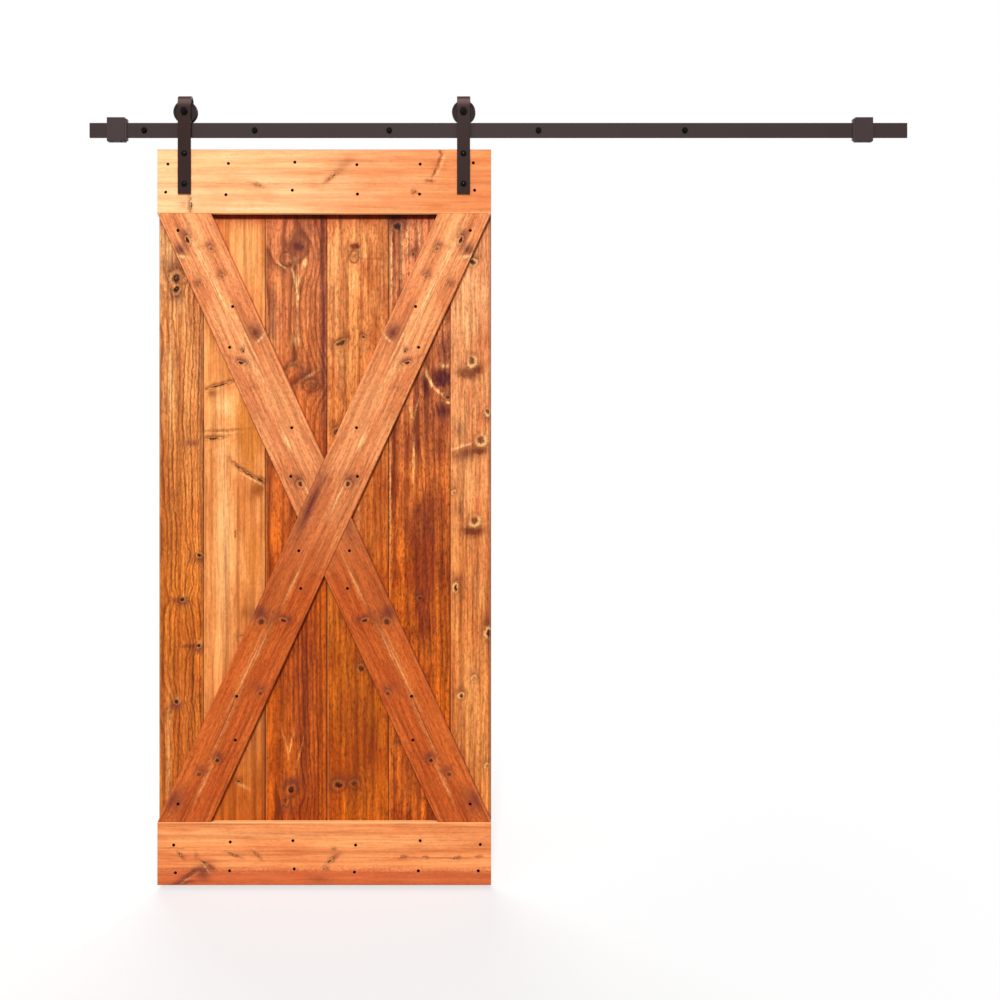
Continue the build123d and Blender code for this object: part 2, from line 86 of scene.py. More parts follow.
# Area lamps: power, size, and place from the leaf's top edge in the middle
Lamp = namedtuple("Lamp", "power width depth right back up")
top_lamp = Lamp(26, 2.6, 1.0, 0.0, -1.55, 1.25)
back_lamp = Lamp(110, 3.0, 2.0, -0.9, 3.05, 0.65)

# Lag bolt threads: the ridge's places are shares of the pitch, from foot over crest to foot
thread_pitch = 0.0035
thread_depth = 0.0009
thread_steps = 20
thread_offset_shares = (-0.36, -0.04, 0.04, 0.36)
thread_root_share = 0.96
thread_end_share = 0.05
metre_mm = 1000

# Leaf, from the frame
header_low, header_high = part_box("header_board")
bottom_low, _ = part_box("bottom_board")
brace_low, brace_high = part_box("long_brace")
plank_low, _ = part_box("plank_1")
leaf_left = header_low.x
leaf_right = header_high.x
leaf_top = header_high.z
leaf_bottom = bottom_low.z
leaf_front = header_low.y
leaf_middle = (leaf_left + leaf_right) / 2


def photo_place(x_px, y_px):
    """Point of the leaf's front, (x, z), under a pixel of the photograph."""
    return leaf_left + (x_px - leaf_left_px) * pixel, leaf_top - (y_px - leaf_top_px) * pixel


def rgb(red, green, blue):
    """Linear colour from 8-bit display values, by the sRGB curve."""

    def linear(value):
        share = value / 255
        return share / 12.92 if share <= 0.04045 else ((share + 0.055) / 1.055) ** 2.4

    return (linear(red), linear(green), linear(blue), 1)


def tinted(colour, tint):
    """A colour seen through a tint."""
    return tuple(part * share for part, share in zip(colour, tint))


# Shader nodes. Noise: waves to a metre along and across the grain, detail and roughness.
# Ease: values between which a step rises, and what it goes from and to.
# Bell: where it is highest, and how sharply it falls. Relief: how strong and how high bumps are.
Noise = namedtuple("Noise", "along across detail roughness", defaults=(2.0, 0.5))
Ease = namedtuple("Ease", "low high start end", defaults=(0.0, 1.0))
Bell = namedtuple("Bell", "centre sharpness")
Relief = namedtuple("Relief", "strength height")


class Shader:
    """Adds nodes to a tree and joins them."""

    def __init__(self, tree):
        self.tree = tree

    def feed(self, socket, value):
        if isinstance(value, bpy.types.NodeSocket):
            self.tree.links.new(value, socket)
        else:
            socket.default_value = value

    def node(self, kind, inputs=(), **settings):
        made = self.tree.nodes.new(kind)
        for name, value in settings.items():
            setattr(made, name, value)
        for key, value in dict(inputs).items():
            self.feed(made.inputs[key], value)
        return made

    def math(self, operation, *values):
        return self.node("ShaderNodeMath", enumerate(values), operation=operation).outputs[0]

    def times(self, first, second):
        return self.math("MULTIPLY", first, second)

    def vector(self, operation, *values):
        return self.node("ShaderNodeVectorMath", enumerate(values), operation=operation).outputs[0]

    def length(self, vector):
        return self.node("ShaderNodeVectorMath", {0: vector}, operation="LENGTH").outputs["Value"]

    def split(self, vector):
        return self.node("ShaderNodeSeparateXYZ", {0: vector}).outputs

    def join(self, x, y, z):
        return self.node("ShaderNodeCombineXYZ", {0: x, 1: y, 2: z}).outputs[0]

    def point(self):
        """Place of the shaded point in the frame, with the part at rest."""
        return self.node("ShaderNodeTexCoord").outputs["Object"]

    def largest(self, values):
        top = values[0]
        for value in values[1:]:
            top = self.math("MAXIMUM", top, value)
        return top

    def stretched(self, vector, noise):
        """Noise from 0 to 1, longer along the grain than across it."""
        scaled = self.vector("MULTIPLY", vector, (noise.along, noise.across, noise.across))
        inputs = {"Vector": scaled, "Scale": 1.0, "Detail": noise.detail, "Roughness": noise.roughness}
        return self.node("ShaderNodeTexNoise", inputs).outputs[0]

    def centred(self, value, amount):
        """A value from 0 to 1, moved to swing about 0 by an amount."""
        return self.times(self.math("SUBTRACT", value, 0.5), amount)

    def ease(self, value, low, high, start=0.0, end=1.0):
        """Smooth step from one value to another."""
        inputs = {0: value, 1: low, 2: high, 3: start, 4: end}
        return self.node("ShaderNodeMapRange", inputs, interpolation_type="SMOOTHSTEP").outputs[0]

    def bell(self, value, centre, sharpness):
        """1 at a centre, falling to 0 on both sides of it."""
        off = self.times(self.math("SUBTRACT", value, centre), sharpness)
        return self.math("EXPONENT", self.times(self.times(off, off), -1.0))

    def mix(self, share, first, second, blend="MIX"):
        made = self.node("ShaderNodeMix", {0: share, 6: first, 7: second}, data_type="RGBA")
        made.blend_type = blend
        return made.outputs[2]

    def darken(self, share, colour, tint):
        """A colour, multiplied by a tint in the given share."""
        return self.mix(share, colour, tint, "MULTIPLY")

    def ramp(self, value, stops):
        """Value to grey through (place, grey) stops."""
        made = self.node("ShaderNodeValToRGB", {0: value})
        elements = made.color_ramp.elements
        while len(elements) < len(stops):
            elements.new(1.0)
        for element, (place, grey) in zip(elements, stops):
            element.position = place
            element.color = (grey, grey, grey, 1)
        return made.outputs[0]


def new_material(name):
    made = bpy.data.materials.new(name)
    made.use_nodes = True
    made.node_tree.nodes.clear()
    return made, Shader(made.node_tree)


def surface(shader, colour, roughness, height, relief, gloss=0.5, metal=0.0):
    """Ends a material with a principled surface."""
    inputs = {"Height": height, "Strength": relief.strength, "Distance": relief.height}
    bump = shader.node("ShaderNodeBump", inputs).outputs[0]
    inputs = {"Base Color": colour, "Roughness": roughness, "Normal": bump}
    inputs |= {"Specular IOR Level": gloss, "Metallic": metal}
    bsdf = shader.node("ShaderNodeBsdfPrincipled", inputs)
    shader.node("ShaderNodeOutputMaterial", {"Surface": bsdf.outputs[0]})


def dress(node, material):
    mesh = nodes[node].data
    mesh.materials.clear()
    mesh.materials.append(material)


# Marks in the wood: pixel of the centre, half length along the grain and half width across it in
# pixels, strength, and turn against the grain in degrees. A knot's smudge lies above it, or below it
# where it is turned by 180. A patch whose strength is over 1 has a flat top.
Mark = namedtuple("Mark", "x_px y_px long_px wide_px strength turn", defaults=(1.0, 0))

# A knot, where distances are shares of its size: how uneven its outline is, how far it pushes the
# grain aside, its dark core and from which strength on it has one, its pale side and how far that
# leans across, its brown rim, and its smudge with the place above the knot and the narrowing
knot_uneven_share = 0.65
push_share = 0.85
push_bell = Bell(0.0, 0.36)
core_ease = Ease(0.32, 0.70, 1.0, 0.0)
core_strength_ease = Ease(0.5, 0.9)
pale_bell = Bell(0.8, 3.4)
pale_side_ease = Ease(-0.9, 0.5, 0.1, 1.0)
pale_lean_share = 0.6
rim_bell = Bell(1.05, 3.8)
rim_side_ease = Ease(-0.9, 0.9, 0.5, 1.0)
smudge_bell = Bell(0.0, 0.85)
smudge_rise_share = 1.2
smudge_narrow_share = 0.7

# A patch of stain or pale wood, and a ring in a knot; and how uneven their outlines are
patch_bell = Bell(0.0, 1.0)
patch_uneven_share = 1.0
ring_bell = Bell(1.0, 5.0)
ring_uneven_share = 0.5


def group(name, results):
    """Node group of a mark: its place and size go in, and what earlier marks gave goes through."""
    tree = bpy.data.node_groups.new(name, "ShaderNodeTree")
    for socket in ("Grain", "Place", "Turn", "Size"):
        tree.interface.new_socket(socket, in_out="INPUT", socket_type="NodeSocketVector")
    for socket in ("Strength",) + results:
        tree.interface.new_socket(socket, in_out="INPUT", socket_type="NodeSocketFloat")
    for socket in results:
        tree.interface.new_socket(socket, in_out="OUTPUT", socket_type="NodeSocketFloat")
    shader = Shader(tree)
    entry = shader.node("NodeGroupInput").outputs
    leave = shader.node("NodeGroupOutput").inputs
    return tree, shader, entry, leave


def mark_space(shader, entry, uneven_share):
    """Coordinates in which a mark is the unit circle, and the distance in them, made uneven."""
    inputs = {
        "Vector": entry["Grain"],
        "Location": entry["Place"],
        "Rotation": entry["Turn"],
        "Scale": entry["Size"],
    }
    space = shader.node("ShaderNodeMapping", inputs, vector_type="TEXTURE").outputs[0]
    along, across, uneven = shader.split(space)
    distance = shader.length(shader.join(along, across, 0.0))
    return along, across, shader.math("MULTIPLY_ADD", uneven, uneven_share, distance)


def knot_group():
    """A knot: it pushes the grain aside, and has a dark core, a pale side, a brown rim and a smudge."""
    tree, shader, entry, leave = group("knot", ("Push", "Core", "Pale", "Rim", "Smudge"))
    along, across, distance = mark_space(shader, entry, knot_uneven_share)
    wide = shader.split(entry["Size"])[1]
    strength = entry["Strength"]
    near = shader.bell(distance, *push_bell)
    push = shader.times(shader.times(across, wide), near)
    core = shader.ease(distance, *core_ease)
    core = shader.times(core, shader.ease(strength, *core_strength_ease))
    side = shader.math("MULTIPLY_ADD", across, pale_lean_share, along)
    pale = shader.bell(distance, *pale_bell)
    pale = shader.times(pale, shader.ease(side, *pale_side_ease))
    rim = shader.bell(distance, *rim_bell)
    rim = shader.times(rim, shader.ease(along, *rim_side_ease))
    rise = shader.math("SUBTRACT", along, smudge_rise_share)
    spread = shader.times(across, smudge_narrow_share)
    smudge = shader.bell(shader.length(shader.join(rise, spread, 0.0)), *smudge_bell)
    shader.feed(leave["Push"], shader.math("MULTIPLY_ADD", push, push_share, entry["Push"]))
    for socket, value in (("Core", core), ("Pale", pale), ("Rim", rim), ("Smudge", smudge)):
        own = shader.times(value, strength)
        shader.feed(leave[socket], shader.math("MAXIMUM", own, entry[socket]))
    return tree


def patch_group(name, bell, uneven_share):
    """A soft-edged patch or, where the bell's centre isn't 0, a ring."""
    tree, shader, entry, leave = group(name, ("Patch",))
    _, _, distance = mark_space(shader, entry, uneven_share)
    own = shader.times(shader.bell(distance, *bell), entry["Strength"])
    shader.feed(leave["Patch"], shader.math("MAXIMUM", own, entry["Patch"]))
    return tree


knot_tree = knot_group()
patch_tree = patch_group("patch", patch_bell, patch_uneven_share)
ring_tree = patch_group("ring", ring_bell, ring_uneven_share)


# Boards


class Grain:
    """How a board's grain lies: centre, direction in the leaf's plane, half length and half width."""

    def __init__(self, low, high, angle, reach, half, mirrored=False):
        self.x = (low.x + high.x) / 2
        self.z = (low.z + high.z) / 2
        self.angle = angle
        self.reach = reach
        self.half = half
        self.mirrored = mirrored

    def place(self, x_px, y_px):
        """(along, across) of a pixel of the photograph."""
        x, z = photo_place(x_px, y_px)
        dx, dz = x - self.x, z - self.z
        cos, sin = math.cos(self.angle), math.sin(self.angle)
        return dx * cos + dz * sin, dz * cos - dx * sin

    def coordinates(self, shader):
        """(along, across, depth) of the shaded point, in metres from the board's centre."""
        point = shader.point()
        if self.mirrored:
            point = shader.vector("MULTIPLY_ADD", point, (-1, 1, 1), (2 * leaf_middle, 0, 0))
        inputs = {
            "Vector": point,
            "Location": (self.x, leaf_front, self.z),
            "Rotation": (0, -self.angle, 0),
        }
        local = shader.node("ShaderNodeMapping", inputs, vector_type="TEXTURE").outputs[0]
        along, depth, across = shader.split(local)
        return shader.join(along, across, depth)


def brace_grain(mirrored):
    """Grain of the long brace, or mirrored for the two half braces."""
    corners = [vertex.co for vertex in nodes["long_brace"].data.vertices]
    foot = [header_shade.x for header_shade in corners if header_shade.z - brace_low.z < pixel]
    head = [header_shade.x for header_shade in corners if brace_high.z - header_shade.z < pixel]
    height = brace_high.z - brace_low.z
    angle = math.atan2(height, min(head) - min(foot))
    reach = height / math.sin(angle) / 2
    half = (max(foot) - min(foot)) * math.sin(angle) / 2
    return Grain(brace_low, brace_high, angle, reach, half, mirrored)


# Patterns of the wood
sway_noise = Noise(1.6, 5.0)
rise_noise = Noise(2.2, 1.0)
ripple_noise = Noise(16.0, 40.0)
quiver_noise = Noise(55.0, 60.0)
fibre_noise = Noise(16.0, 520.0, 3.0, 0.6)
strand_noise = Noise(7.0, 180.0, 2.0, 0.6)
band_noise = Noise(1.1, 60.0)
blotch_noise = Noise(5.0, 14.0, 4.0, 0.65)
mottle_noise = Noise(70.0, 170.0, 3.0, 0.7)
pore_noise = Noise(150.0, 420.0, 2.0, 0.6)
speck_noise = Noise(190.0, 230.0)
blotch_ease = Ease(0.38, 0.66)
band_ease = Ease(0.35, 0.7)
pore_ease = Ease(0.60, 0.70)

# How mottling breaks up late wood and stain, strands break up pale streaks, and specks break up knots
late_ease = Ease(0.25, 0.6, 0.45, 1.0)
soak_ease = Ease(0.3, 0.9, 0.7, 1.0)
streak_ease = Ease(0.42, 0.56, 0.5, 1.0)
rim_speck_ease = Ease(0.38, 0.54, 0.35, 1.0)
core_speck_ease = Ease(0.34, 0.48, 0.6, 1.0)

# How strongly tinted parts, knots' smudges and rims, and the foot's tint on pale wood show
tint_ease = Ease(0.3, 0.7, 0.0, 0.8)
smudge_share = 0.65
rim_share = 0.9
pale_foot_share = 0.5

# How much a figure share of 1 darkens by streaks, mottling, strands and fibres, and the noise values
# of the darkest, the middle and the lightest tone
streak_tone_share = -0.45
mottle_tone_share = 1.3
strand_tone_share = 0.36
fibre_tone_share = 0.28
tone_places = (0.3, 0.5, 0.7)

# Wavers of the marks: waves to a metre, and reach; and how uneven their edges are
wavers = ((70.0, 0.009), (240.0, 0.005))
uneven_noise = Noise(150.0, 190.0, 3.0, 0.65)
uneven_share = 0.9

# Surface of the wood: its relief, how far late wood and mottling stand up in it, and its oil's gloss
wood_relief = Relief(0.22, 0.0006)
late_height_share = 0.5
mottle_height_share = 0.25
wood_rough_ease = Ease(0.3, 1.5, 0.42, 0.62)
wood_gloss = 0.1

# Edges of planks: widths of the groove, of its painted highlight line and of its painted shade, and how
# strongly they show
groove_width = 0.0015
groove_highlight_inset = 0.0030
groove_shade_width = 0.012
groove_share = 0.9
groove_highlight_share = 0.16
groove_shade_share = 0.6

# Edges of boards and braces, pale with painted light and dark with painted shade: width, and how strongly
# the pale and the dark one show
board_edge_width = 0.0030
board_edge_shares = (0.95, 0.7)
brace_edge_shares = (0.15, 0.4)

# How far painted shadow reaches on the planks below the header and along the braces
header_shade_width = 0.018
header_shade_dark_width = 0.011
header_soft_shade_width = 0.060
brace_shade_width = 0.0045
brace_shade_share = 0.7
front_fade = 0.005

# Darkness across one growth ring, and how much the rings differ
ring_profile = ((0.0, 0.1), (0.45, 0.05), (0.78, 0.8), (0.90, 1.0), (1.0, 0.15))
ring_ease = Ease(0.0, 1.0, 0.3, 1.0)

wood_dark = rgb(44, 16, 8)
wood_heart = rgb(116, 50, 22)
wood_purple = rgb(100, 42, 36)
wood_amber = rgb(142, 66, 12)
wood_brown = rgb(120, 50, 16)
wood_pale = rgb(255, 196, 130)
wood_groove = rgb(74, 28, 18)
# Painted shade on the dark edges of boards and braces
edge_shade_tone = rgb(112, 48, 24)
# Painted shadow below the header and along the braces, and its soft outer part below the header
painted_shade_tint = (0.30, 0.11, 0.06, 1)
soft_shade_tint = (0.70, 0.52, 0.50, 1)

# Look of one board.
# Colours: early and late wood of a growth ring, streaks of stain, what smudges soak up, tinted parts.
# Rings: their spacing, the log's centre across and behind the face, how far it rises to a metre,
# and how far the grain sways, ripples and quivers.
# Figure: how strongly late wood, blotches, streaks, mottling, flecks, pale eyes and fibres show.
# Foot: tint of the board's lower or right end, and where on the board it is full and where it ends.
Colours = namedtuple("Colours", "early late stain soak tint")
Rings = namedtuple("Rings", "spacing pith_across pith_depth taper sway ripple quiver")
Figure = namedtuple(
    "Figure", "late_share blotch_share streak_share mottle_share fleck_share eye_share fibre_share"
)
Foot = namedtuple("Foot", "tint full_share clear_share")
Look = namedtuple("Look", "colours rings figure foot seed")
no_foot = Foot((1, 1, 1, 1), -1.0, 1.0)

looks = {}
looks["plank_1"] = Look(
    Colours(rgb(255, 180, 112), rgb(112, 42, 10), rgb(196, 98, 40), wood_purple, None),
    Rings(0.0085, 0.085, 0.05, 0.012, 0.045, 0.012, 0.008),
    Figure(1.0, 0.45, 0.45, 0.38, 0.5, 0.28, 1.1),
    Foot((0.78, 0.48, 0.14, 1), -0.4, 1.0),
    3.0,
)
looks["plank_2"] = Look(
    Colours(rgb(252, 168, 96), rgb(176, 82, 20), rgb(190, 92, 26), wood_amber, rgb(214, 124, 44)),
    Rings(0.016, -0.05, 0.075, 0.03, 0.07, 0.009, 0.005),
    Figure(0.40, 0.55, 0.5, 0.18, 0.3, 0.20, 0.6),
    Foot((0.63, 0.38, 0.14, 1), -0.8, -0.3),
    11.0,
)
looks["plank_3"] = Look(
    Colours(rgb(234, 140, 84), rgb(96, 32, 14), rgb(146, 62, 30), wood_purple, None),
    Rings(0.012, 0.055, 0.045, 0.02, 0.05, 0.009, 0.005),
    Figure(0.90, 0.65, 0.5, 0.42, 0.5, 0.08, 1.0),
    Foot((0.94, 0.57, 0.07, 1), -0.3, 0.9),
    23.0,
)
looks["plank_4"] = Look(
    Colours(rgb(255, 168, 98), rgb(150, 62, 18), rgb(180, 80, 30), wood_brown, None),
    Rings(0.013, -0.07, 0.065, 0.02, 0.06, 0.010, 0.006),
    Figure(0.50, 0.70, 0.45, 0.42, 0.6, 0.12, 1.0),
    Foot((0.76, 0.46, 0.07, 1), -0.5, 1.0),
    37.0,
)
looks["plank_5"] = Look(
    Colours(rgb(244, 154, 98), rgb(108, 38, 20), rgb(142, 58, 34), rgb(84, 32, 32), None),
    Rings(0.013, 0.04, 0.055, 0.025, 0.06, 0.009, 0.005),
    Figure(0.70, 0.80, 0.5, 0.52, 0.8, 0.15, 1.0),
    Foot((0.96, 0.58, 0.08, 1), -0.3, 0.9),
    51.0,
)
looks["plank_6"] = Look(
    Colours(rgb(255, 186, 128), rgb(176, 82, 36), rgb(196, 100, 52), rgb(118, 50, 26), None),
    Rings(0.012, 0.06, 0.05, 0.018, 0.06, 0.011, 0.006),
    Figure(0.50, 0.60, 0.4, 0.34, 0.5, 1.25, 1.0),
    Foot((0.84, 0.58, 0.29, 1), -0.5, 1.0),
    67.0,
)
looks["header_board"] = Look(
    Colours(rgb(255, 203, 148), rgb(214, 122, 60), rgb(236, 144, 80), rgb(134, 56, 20), None),
    Rings(0.020, 0.02, 0.13, 0.012, 0.03, 0.003, 0.001),
    Figure(0.30, 0.45, 0.3, 0.10, 0.3, 0.40, 0.4),
    Foot((0.80, 0.48, 0.33, 1), -1.0, 1.0),
    83.0,
)
looks["bottom_board"] = Look(
    Colours(rgb(242, 154, 92), rgb(188, 92, 44), rgb(206, 106, 56), wood_purple, rgb(190, 86, 46)),
    Rings(0.014, -0.03, 0.10, 0.012, 0.03, 0.004, 0.002),
    Figure(0.40, 0.55, 0.4, 0.12, 0.25, 0.30, 0.45),
    no_foot,
    97.0,
)
looks["brace"] = Look(
    Colours(rgb(247, 163, 103), rgb(160, 74, 31), rgb(206, 106, 58), wood_purple, None),
    Rings(0.012, 0.03, 0.07, 0.02, 0.035, 0.006, 0.004),
    Figure(0.46, 0.60, 0.36, 0.33, 0.5, 0.18, 0.75),
    Foot((0.65, 0.355, 0.16, 1), -0.3, 0.3),
    113.0,
)

Marks = namedtuple("Marks", "knots stains pale tints rings", defaults=((), ()))
board_marks = {}
board_marks["plank_1"] = Marks(
    knots=(
        Mark(174.2, 277.5, 10, 7.5), Mark(174.2, 288.5, 6.2, 5.2, 1, 180),
        Mark(197.5, 556, 3.5, 4.2, 1, 180), Mark(180.5, 600, 3.5, 4, 1, 180),
        Mark(197, 646.5, 3.5, 4.2, 1, 180), Mark(174.7, 703, 3.8, 4.2, 1, 180),
        Mark(168.4, 714, 5, 4.2, 0.5),
    ),
    stains=(
        Mark(165, 262, 26, 9, 0.12), Mark(178, 601.5, 2.4, 9, 0.9), Mark(188, 647.5, 2.2, 13, 0.9),
        Mark(190, 443, 4, 10, 0.7), Mark(174.5, 706, 2.6, 6, 0.8), Mark(199.5, 430, 200, 2.6, 0.5),
        Mark(180, 720, 90, 30, 0.3),
    ),
    pale=(
        Mark(168, 385, 40, 5.5, 0.6), Mark(177, 300, 14, 5, 0.45), Mark(167, 245, 34, 12, 0.5),
        Mark(166, 760, 60, 3, 0.5), Mark(182.5, 596, 1.6, 1.8, 0.9), Mark(197.5, 643, 1.6, 1.8, 0.9),
        Mark(174.6, 699.5, 1.8, 2, 0.9),
    ),
)
board_marks["plank_2"] = Marks(
    knots=(
        Mark(218, 385, 1.6, 16.2, 1, 16), Mark(212, 438.5, 1.8, 10.6, 1, 4),
        Mark(218, 431, 1, 17.5, 0.8, 3), Mark(236, 466.5, 1.4, 7.5, 1, -38),
        Mark(248, 475, 1.5, 13.8, 1, -30), Mark(259, 480, 1.4, 7.5, 0.9, -22),
        Mark(237, 783.5, 2, 3.8, 0.9, 20), Mark(233.6, 536, 3.8, 0.9, 0.9), Mark(241, 640, 3.1, 5, 0.6),
    ),
    stains=(
        Mark(211, 393.5, 5, 6), Mark(256, 490, 11, 8, 0.9, -30), Mark(246, 614, 9, 10, 0.7),
        Mark(254, 700, 120, 16, 0.5), Mark(247, 446, 30, 10, 0.3), Mark(256, 778, 30, 8, 0.6),
    ),
    pale=(
        Mark(222, 520, 100, 8, 0.7), Mark(222, 405, 14, 9, 0.8), Mark(222, 452, 14, 9, 0.6),
        Mark(249, 478.5, 1, 13, 0.9, -28), Mark(222, 434, 1, 12, 0.8, 6), Mark(242, 788, 1.6, 6, 0.8, -30),
        Mark(244, 250, 40, 16, 0.25),
    ),
    tints=(Mark(248, 425, 55, 14), Mark(252, 560, 60, 13, 0.6)),
)
board_marks["plank_3"] = Marks(
    knots=(
        Mark(285.2, 258, 8.1, 7.8, 0.5), Mark(297.5, 243.5, 11.9, 9.4, 0.45, -12),
        Mark(309.8, 385, 7.5, 9, 0.6), Mark(290, 792, 6.2, 5.8), Mark(284.3, 802.5, 5.8, 4, 0.8, 180),
        Mark(292, 371, 8.8, 8.1, 0.4),
    ),
    stains=(
        Mark(297, 244.5, 12, 8, 1.1, -10), Mark(322.5, 330, 130, 3.6), Mark(285.5, 258, 5, 4.5, 0.5),
        Mark(310, 385, 4.5, 6, 0.6), Mark(304, 374, 8, 6, 0.8), Mark(275, 335, 60, 6, 0.3),
        Mark(295, 520, 50, 22, 0.35), Mark(300, 700, 130, 26, 0.4),
    ),
    pale=(
        Mark(293.6, 279, 11, 1.4, 1.2, 12), Mark(298.2, 278, 11, 1.3, 1.2, -12),
        Mark(295.6, 296, 11, 1.6, 1.2), Mark(295.4, 322, 18, 1.2, 0.8), Mark(293, 259.5, 3, 2.4, 1.2),
        Mark(303, 261, 3.4, 2.4, 1.2), Mark(281, 265, 1.2, 5, 1, -40), Mark(309, 375, 1.2, 8, 1, 33),
        Mark(295, 339, 5, 4, 0.6), Mark(291, 363, 1.2, 4, 0.8, 10), Mark(284.5, 746, 12, 0.9, 0.7, 14),
        Mark(289.8, 746, 12, 0.9, 0.7, -14), Mark(298, 757, 16, 0.8, 0.6, -14), Mark(272, 360, 50, 5, 0.4),
    ),
    rings=(
        Mark(285.5, 258, 7, 6.2, 0.9), Mark(285.5, 258.5, 3.8, 3.4, 0.5),
        Mark(297.5, 247, 14, 8.6, 0.7, -10), Mark(310, 385, 6.4, 8.2, 0.85),
        Mark(310, 385.5, 3.4, 4.6, 0.5), Mark(292.5, 373, 9.5, 6, 0.6),
        Mark(289.5, 791, 8.5, 7.5, 0.6, -20), Mark(285, 803, 6.5, 3.6, 0.5, 10),
    ),
)
board_marks["plank_4"] = Marks(
    knots=(
        Mark(353, 255, 6.9, 6.5, 0.4), Mark(340, 342.5, 3.8, 10, 0.9, 28), Mark(362.3, 336, 3, 2.8),
        Mark(336, 432, 5.6, 5.6, 0.9), Mark(360.5, 670, 5.8, 5.2, 0.9), Mark(337.5, 787, 6.2, 7, 0.95),
        Mark(353, 785.5, 4.4, 5.6, 0.8),
    ),
    stains=(
        Mark(354.2, 245, 3.2, 4.2, 2), Mark(371, 257.5, 1.2, 12, 0.6, 2), Mark(353.3, 255, 4.2, 4, 0.8),
        Mark(352, 345, 7, 20, 0.2), Mark(376, 310, 60, 7, 0.35), Mark(384, 280, 60, 3, 0.6),
        Mark(345, 436, 14, 10, 0.6), Mark(360, 690, 150, 30, 0.6), Mark(350, 784, 8, 26, 0.4),
    ),
    pale=(
        Mark(359.6, 253.5, 4.5, 1.2, 1.3), Mark(348, 280, 12, 0.9, 0.9, 6),
        Mark(352, 283, 12, 0.9, 0.9, -6), Mark(334, 290, 60, 5, 0.35), Mark(340, 365, 30, 6, 0.3),
        Mark(357, 500, 60, 3, 0.3),
    ),
    rings=(
        Mark(353.3, 255.5, 6, 5, 0.8), Mark(338, 787, 6.5, 9, 0.6, 30), Mark(354, 786, 6, 6, 0.5),
    ),
)
board_marks["plank_5"] = Marks(
    knots=(
        Mark(397, 225.5, 6.2, 6.9), Mark(412.5, 253, 3.2, 2.5), Mark(419.5, 599, 3, 3, 0.8),
        Mark(396, 748, 3.2, 3.2, 0.6), Mark(447, 397.5, 3.4, 4.2),
    ),
    stains=(
        Mark(395, 222, 8, 9, 0.7), Mark(442, 378, 11, 11, 1.6), Mark(444, 348, 20, 8, 0.9),
        Mark(425, 420, 60, 26, 0.35), Mark(424, 385, 15, 5, 1, 18), Mark(442, 411, 9, 11, 1.1),
        Mark(424, 525, 34, 22, 0.5), Mark(428, 600, 100, 22, 0.4), Mark(410, 770, 70, 26, 0.45),
    ),
    pale=(
        Mark(390.5, 260, 45, 1, 0.8), Mark(401, 250, 34, 1.2, 0.9), Mark(407, 235, 18, 1.2, 0.7),
        Mark(419, 235, 16, 1, 0.8), Mark(426.8, 374, 5.5, 1.3, 1.2, 14),
        Mark(431, 383.5, 6.5, 1.3, 1.2, 32), Mark(439, 392.5, 6.5, 1.4, 1.3, 50),
        Mark(447.5, 402, 1.3, 4.5, 1.1, -20), Mark(444.5, 365.5, 1.8, 4.5, 0.8),
        Mark(444, 393.5, 1.2, 3.5, 1, 20), Mark(409.5, 410, 11, 0.9, 0.9, 12),
        Mark(415.5, 410, 11, 0.9, 0.9, -12), Mark(413.3, 460, 24, 1.1, 0.9),
        Mark(389.8, 500, 60, 0.8, 0.65),
    ),
)
board_marks["plank_6"] = Marks(
    knots=(
        Mark(472.8, 261.5, 4.5, 5.5, 0.95), Mark(471.5, 360.5, 7, 5.6, 0.8, 180),
        Mark(487.5, 411.5, 4.8, 4.2, 0.85, 180), Mark(481, 440, 7, 6.8, 0.82, 180),
        Mark(474.4, 521, 7.4, 6.8, 0.8, 180), Mark(453.5, 493, 3.1, 2.5, 0.7), Mark(455.5, 589, 6.2, 3.5),
        Mark(489, 634.5, 7.5, 5), Mark(474, 680, 4.2, 3.2, 0.7), Mark(461, 697.5, 4, 4, 0.9),
        Mark(487, 768, 3.8, 3.8, 0.7),
    ),
    stains=(
        Mark(467, 373, 5, 9, 1.8, -12), Mark(466, 453.5, 7, 15, 1.1, 13), Mark(477, 369.5, 4.2, 6, 1.6, 35),
        Mark(478, 450.5, 5, 8, 1.5, 10), Mark(459, 430, 9, 6, 0.9), Mark(473, 531, 5, 10, 1.8),
        Mark(458, 590, 14, 5, 0.6), Mark(489, 632, 16, 7, 0.85), Mark(459, 510, 9, 7, 0.6),
        Mark(488, 340, 8, 4, 0.4), Mark(470, 770, 40, 20, 0.3),
    ),
    pale=(
        Mark(464, 445.3, 1.3, 11, 1.3, 18), Mark(466, 310, 60, 10, 0.35), Mark(472, 700, 60, 14, 0.4),
        Mark(463, 420, 24, 7, 0.35), Mark(468, 480, 26, 9, 0.35), Mark(478, 590, 30, 8, 0.35),
    ),
)
board_marks["header_board"] = Marks(
    knots=(
        Mark(333.5, 176, 5.2, 1.6, 1, 35), Mark(191.5, 205.5, 1.6, 7.5, 0.9, 3),
        Mark(260.3, 185.5, 4.2, 1.5, 0.8, -15), Mark(431.8, 181, 3.2, 1.2), Mark(415.5, 191.6, 2, 1.9),
    ),
    stains=(
        Mark(343, 166, 12, 5, 0.6, 38), Mark(437, 165, 8, 5, 0.35), Mark(325, 183.2, 260, 0.6, 0.4),
        Mark(184, 204, 5, 4, 0.4), Mark(188, 206, 3, 6, 0.4), Mark(440.6, 153, 1.6, 4.5, 1, 18),
        Mark(438.8, 162, 2, 7.5, 1, -22), Mark(434.4, 172.5, 1.5, 6, 1, -30),
    ),
    pale=(
        Mark(443.2, 160, 1.6, 7, 1, -20), Mark(438.8, 170.5, 1.4, 5.5, 1, -28), Mark(260, 165, 90, 9, 0.35),
        Mark(186.5, 206, 0.9, 5, 0.7, 5),
    ),
)
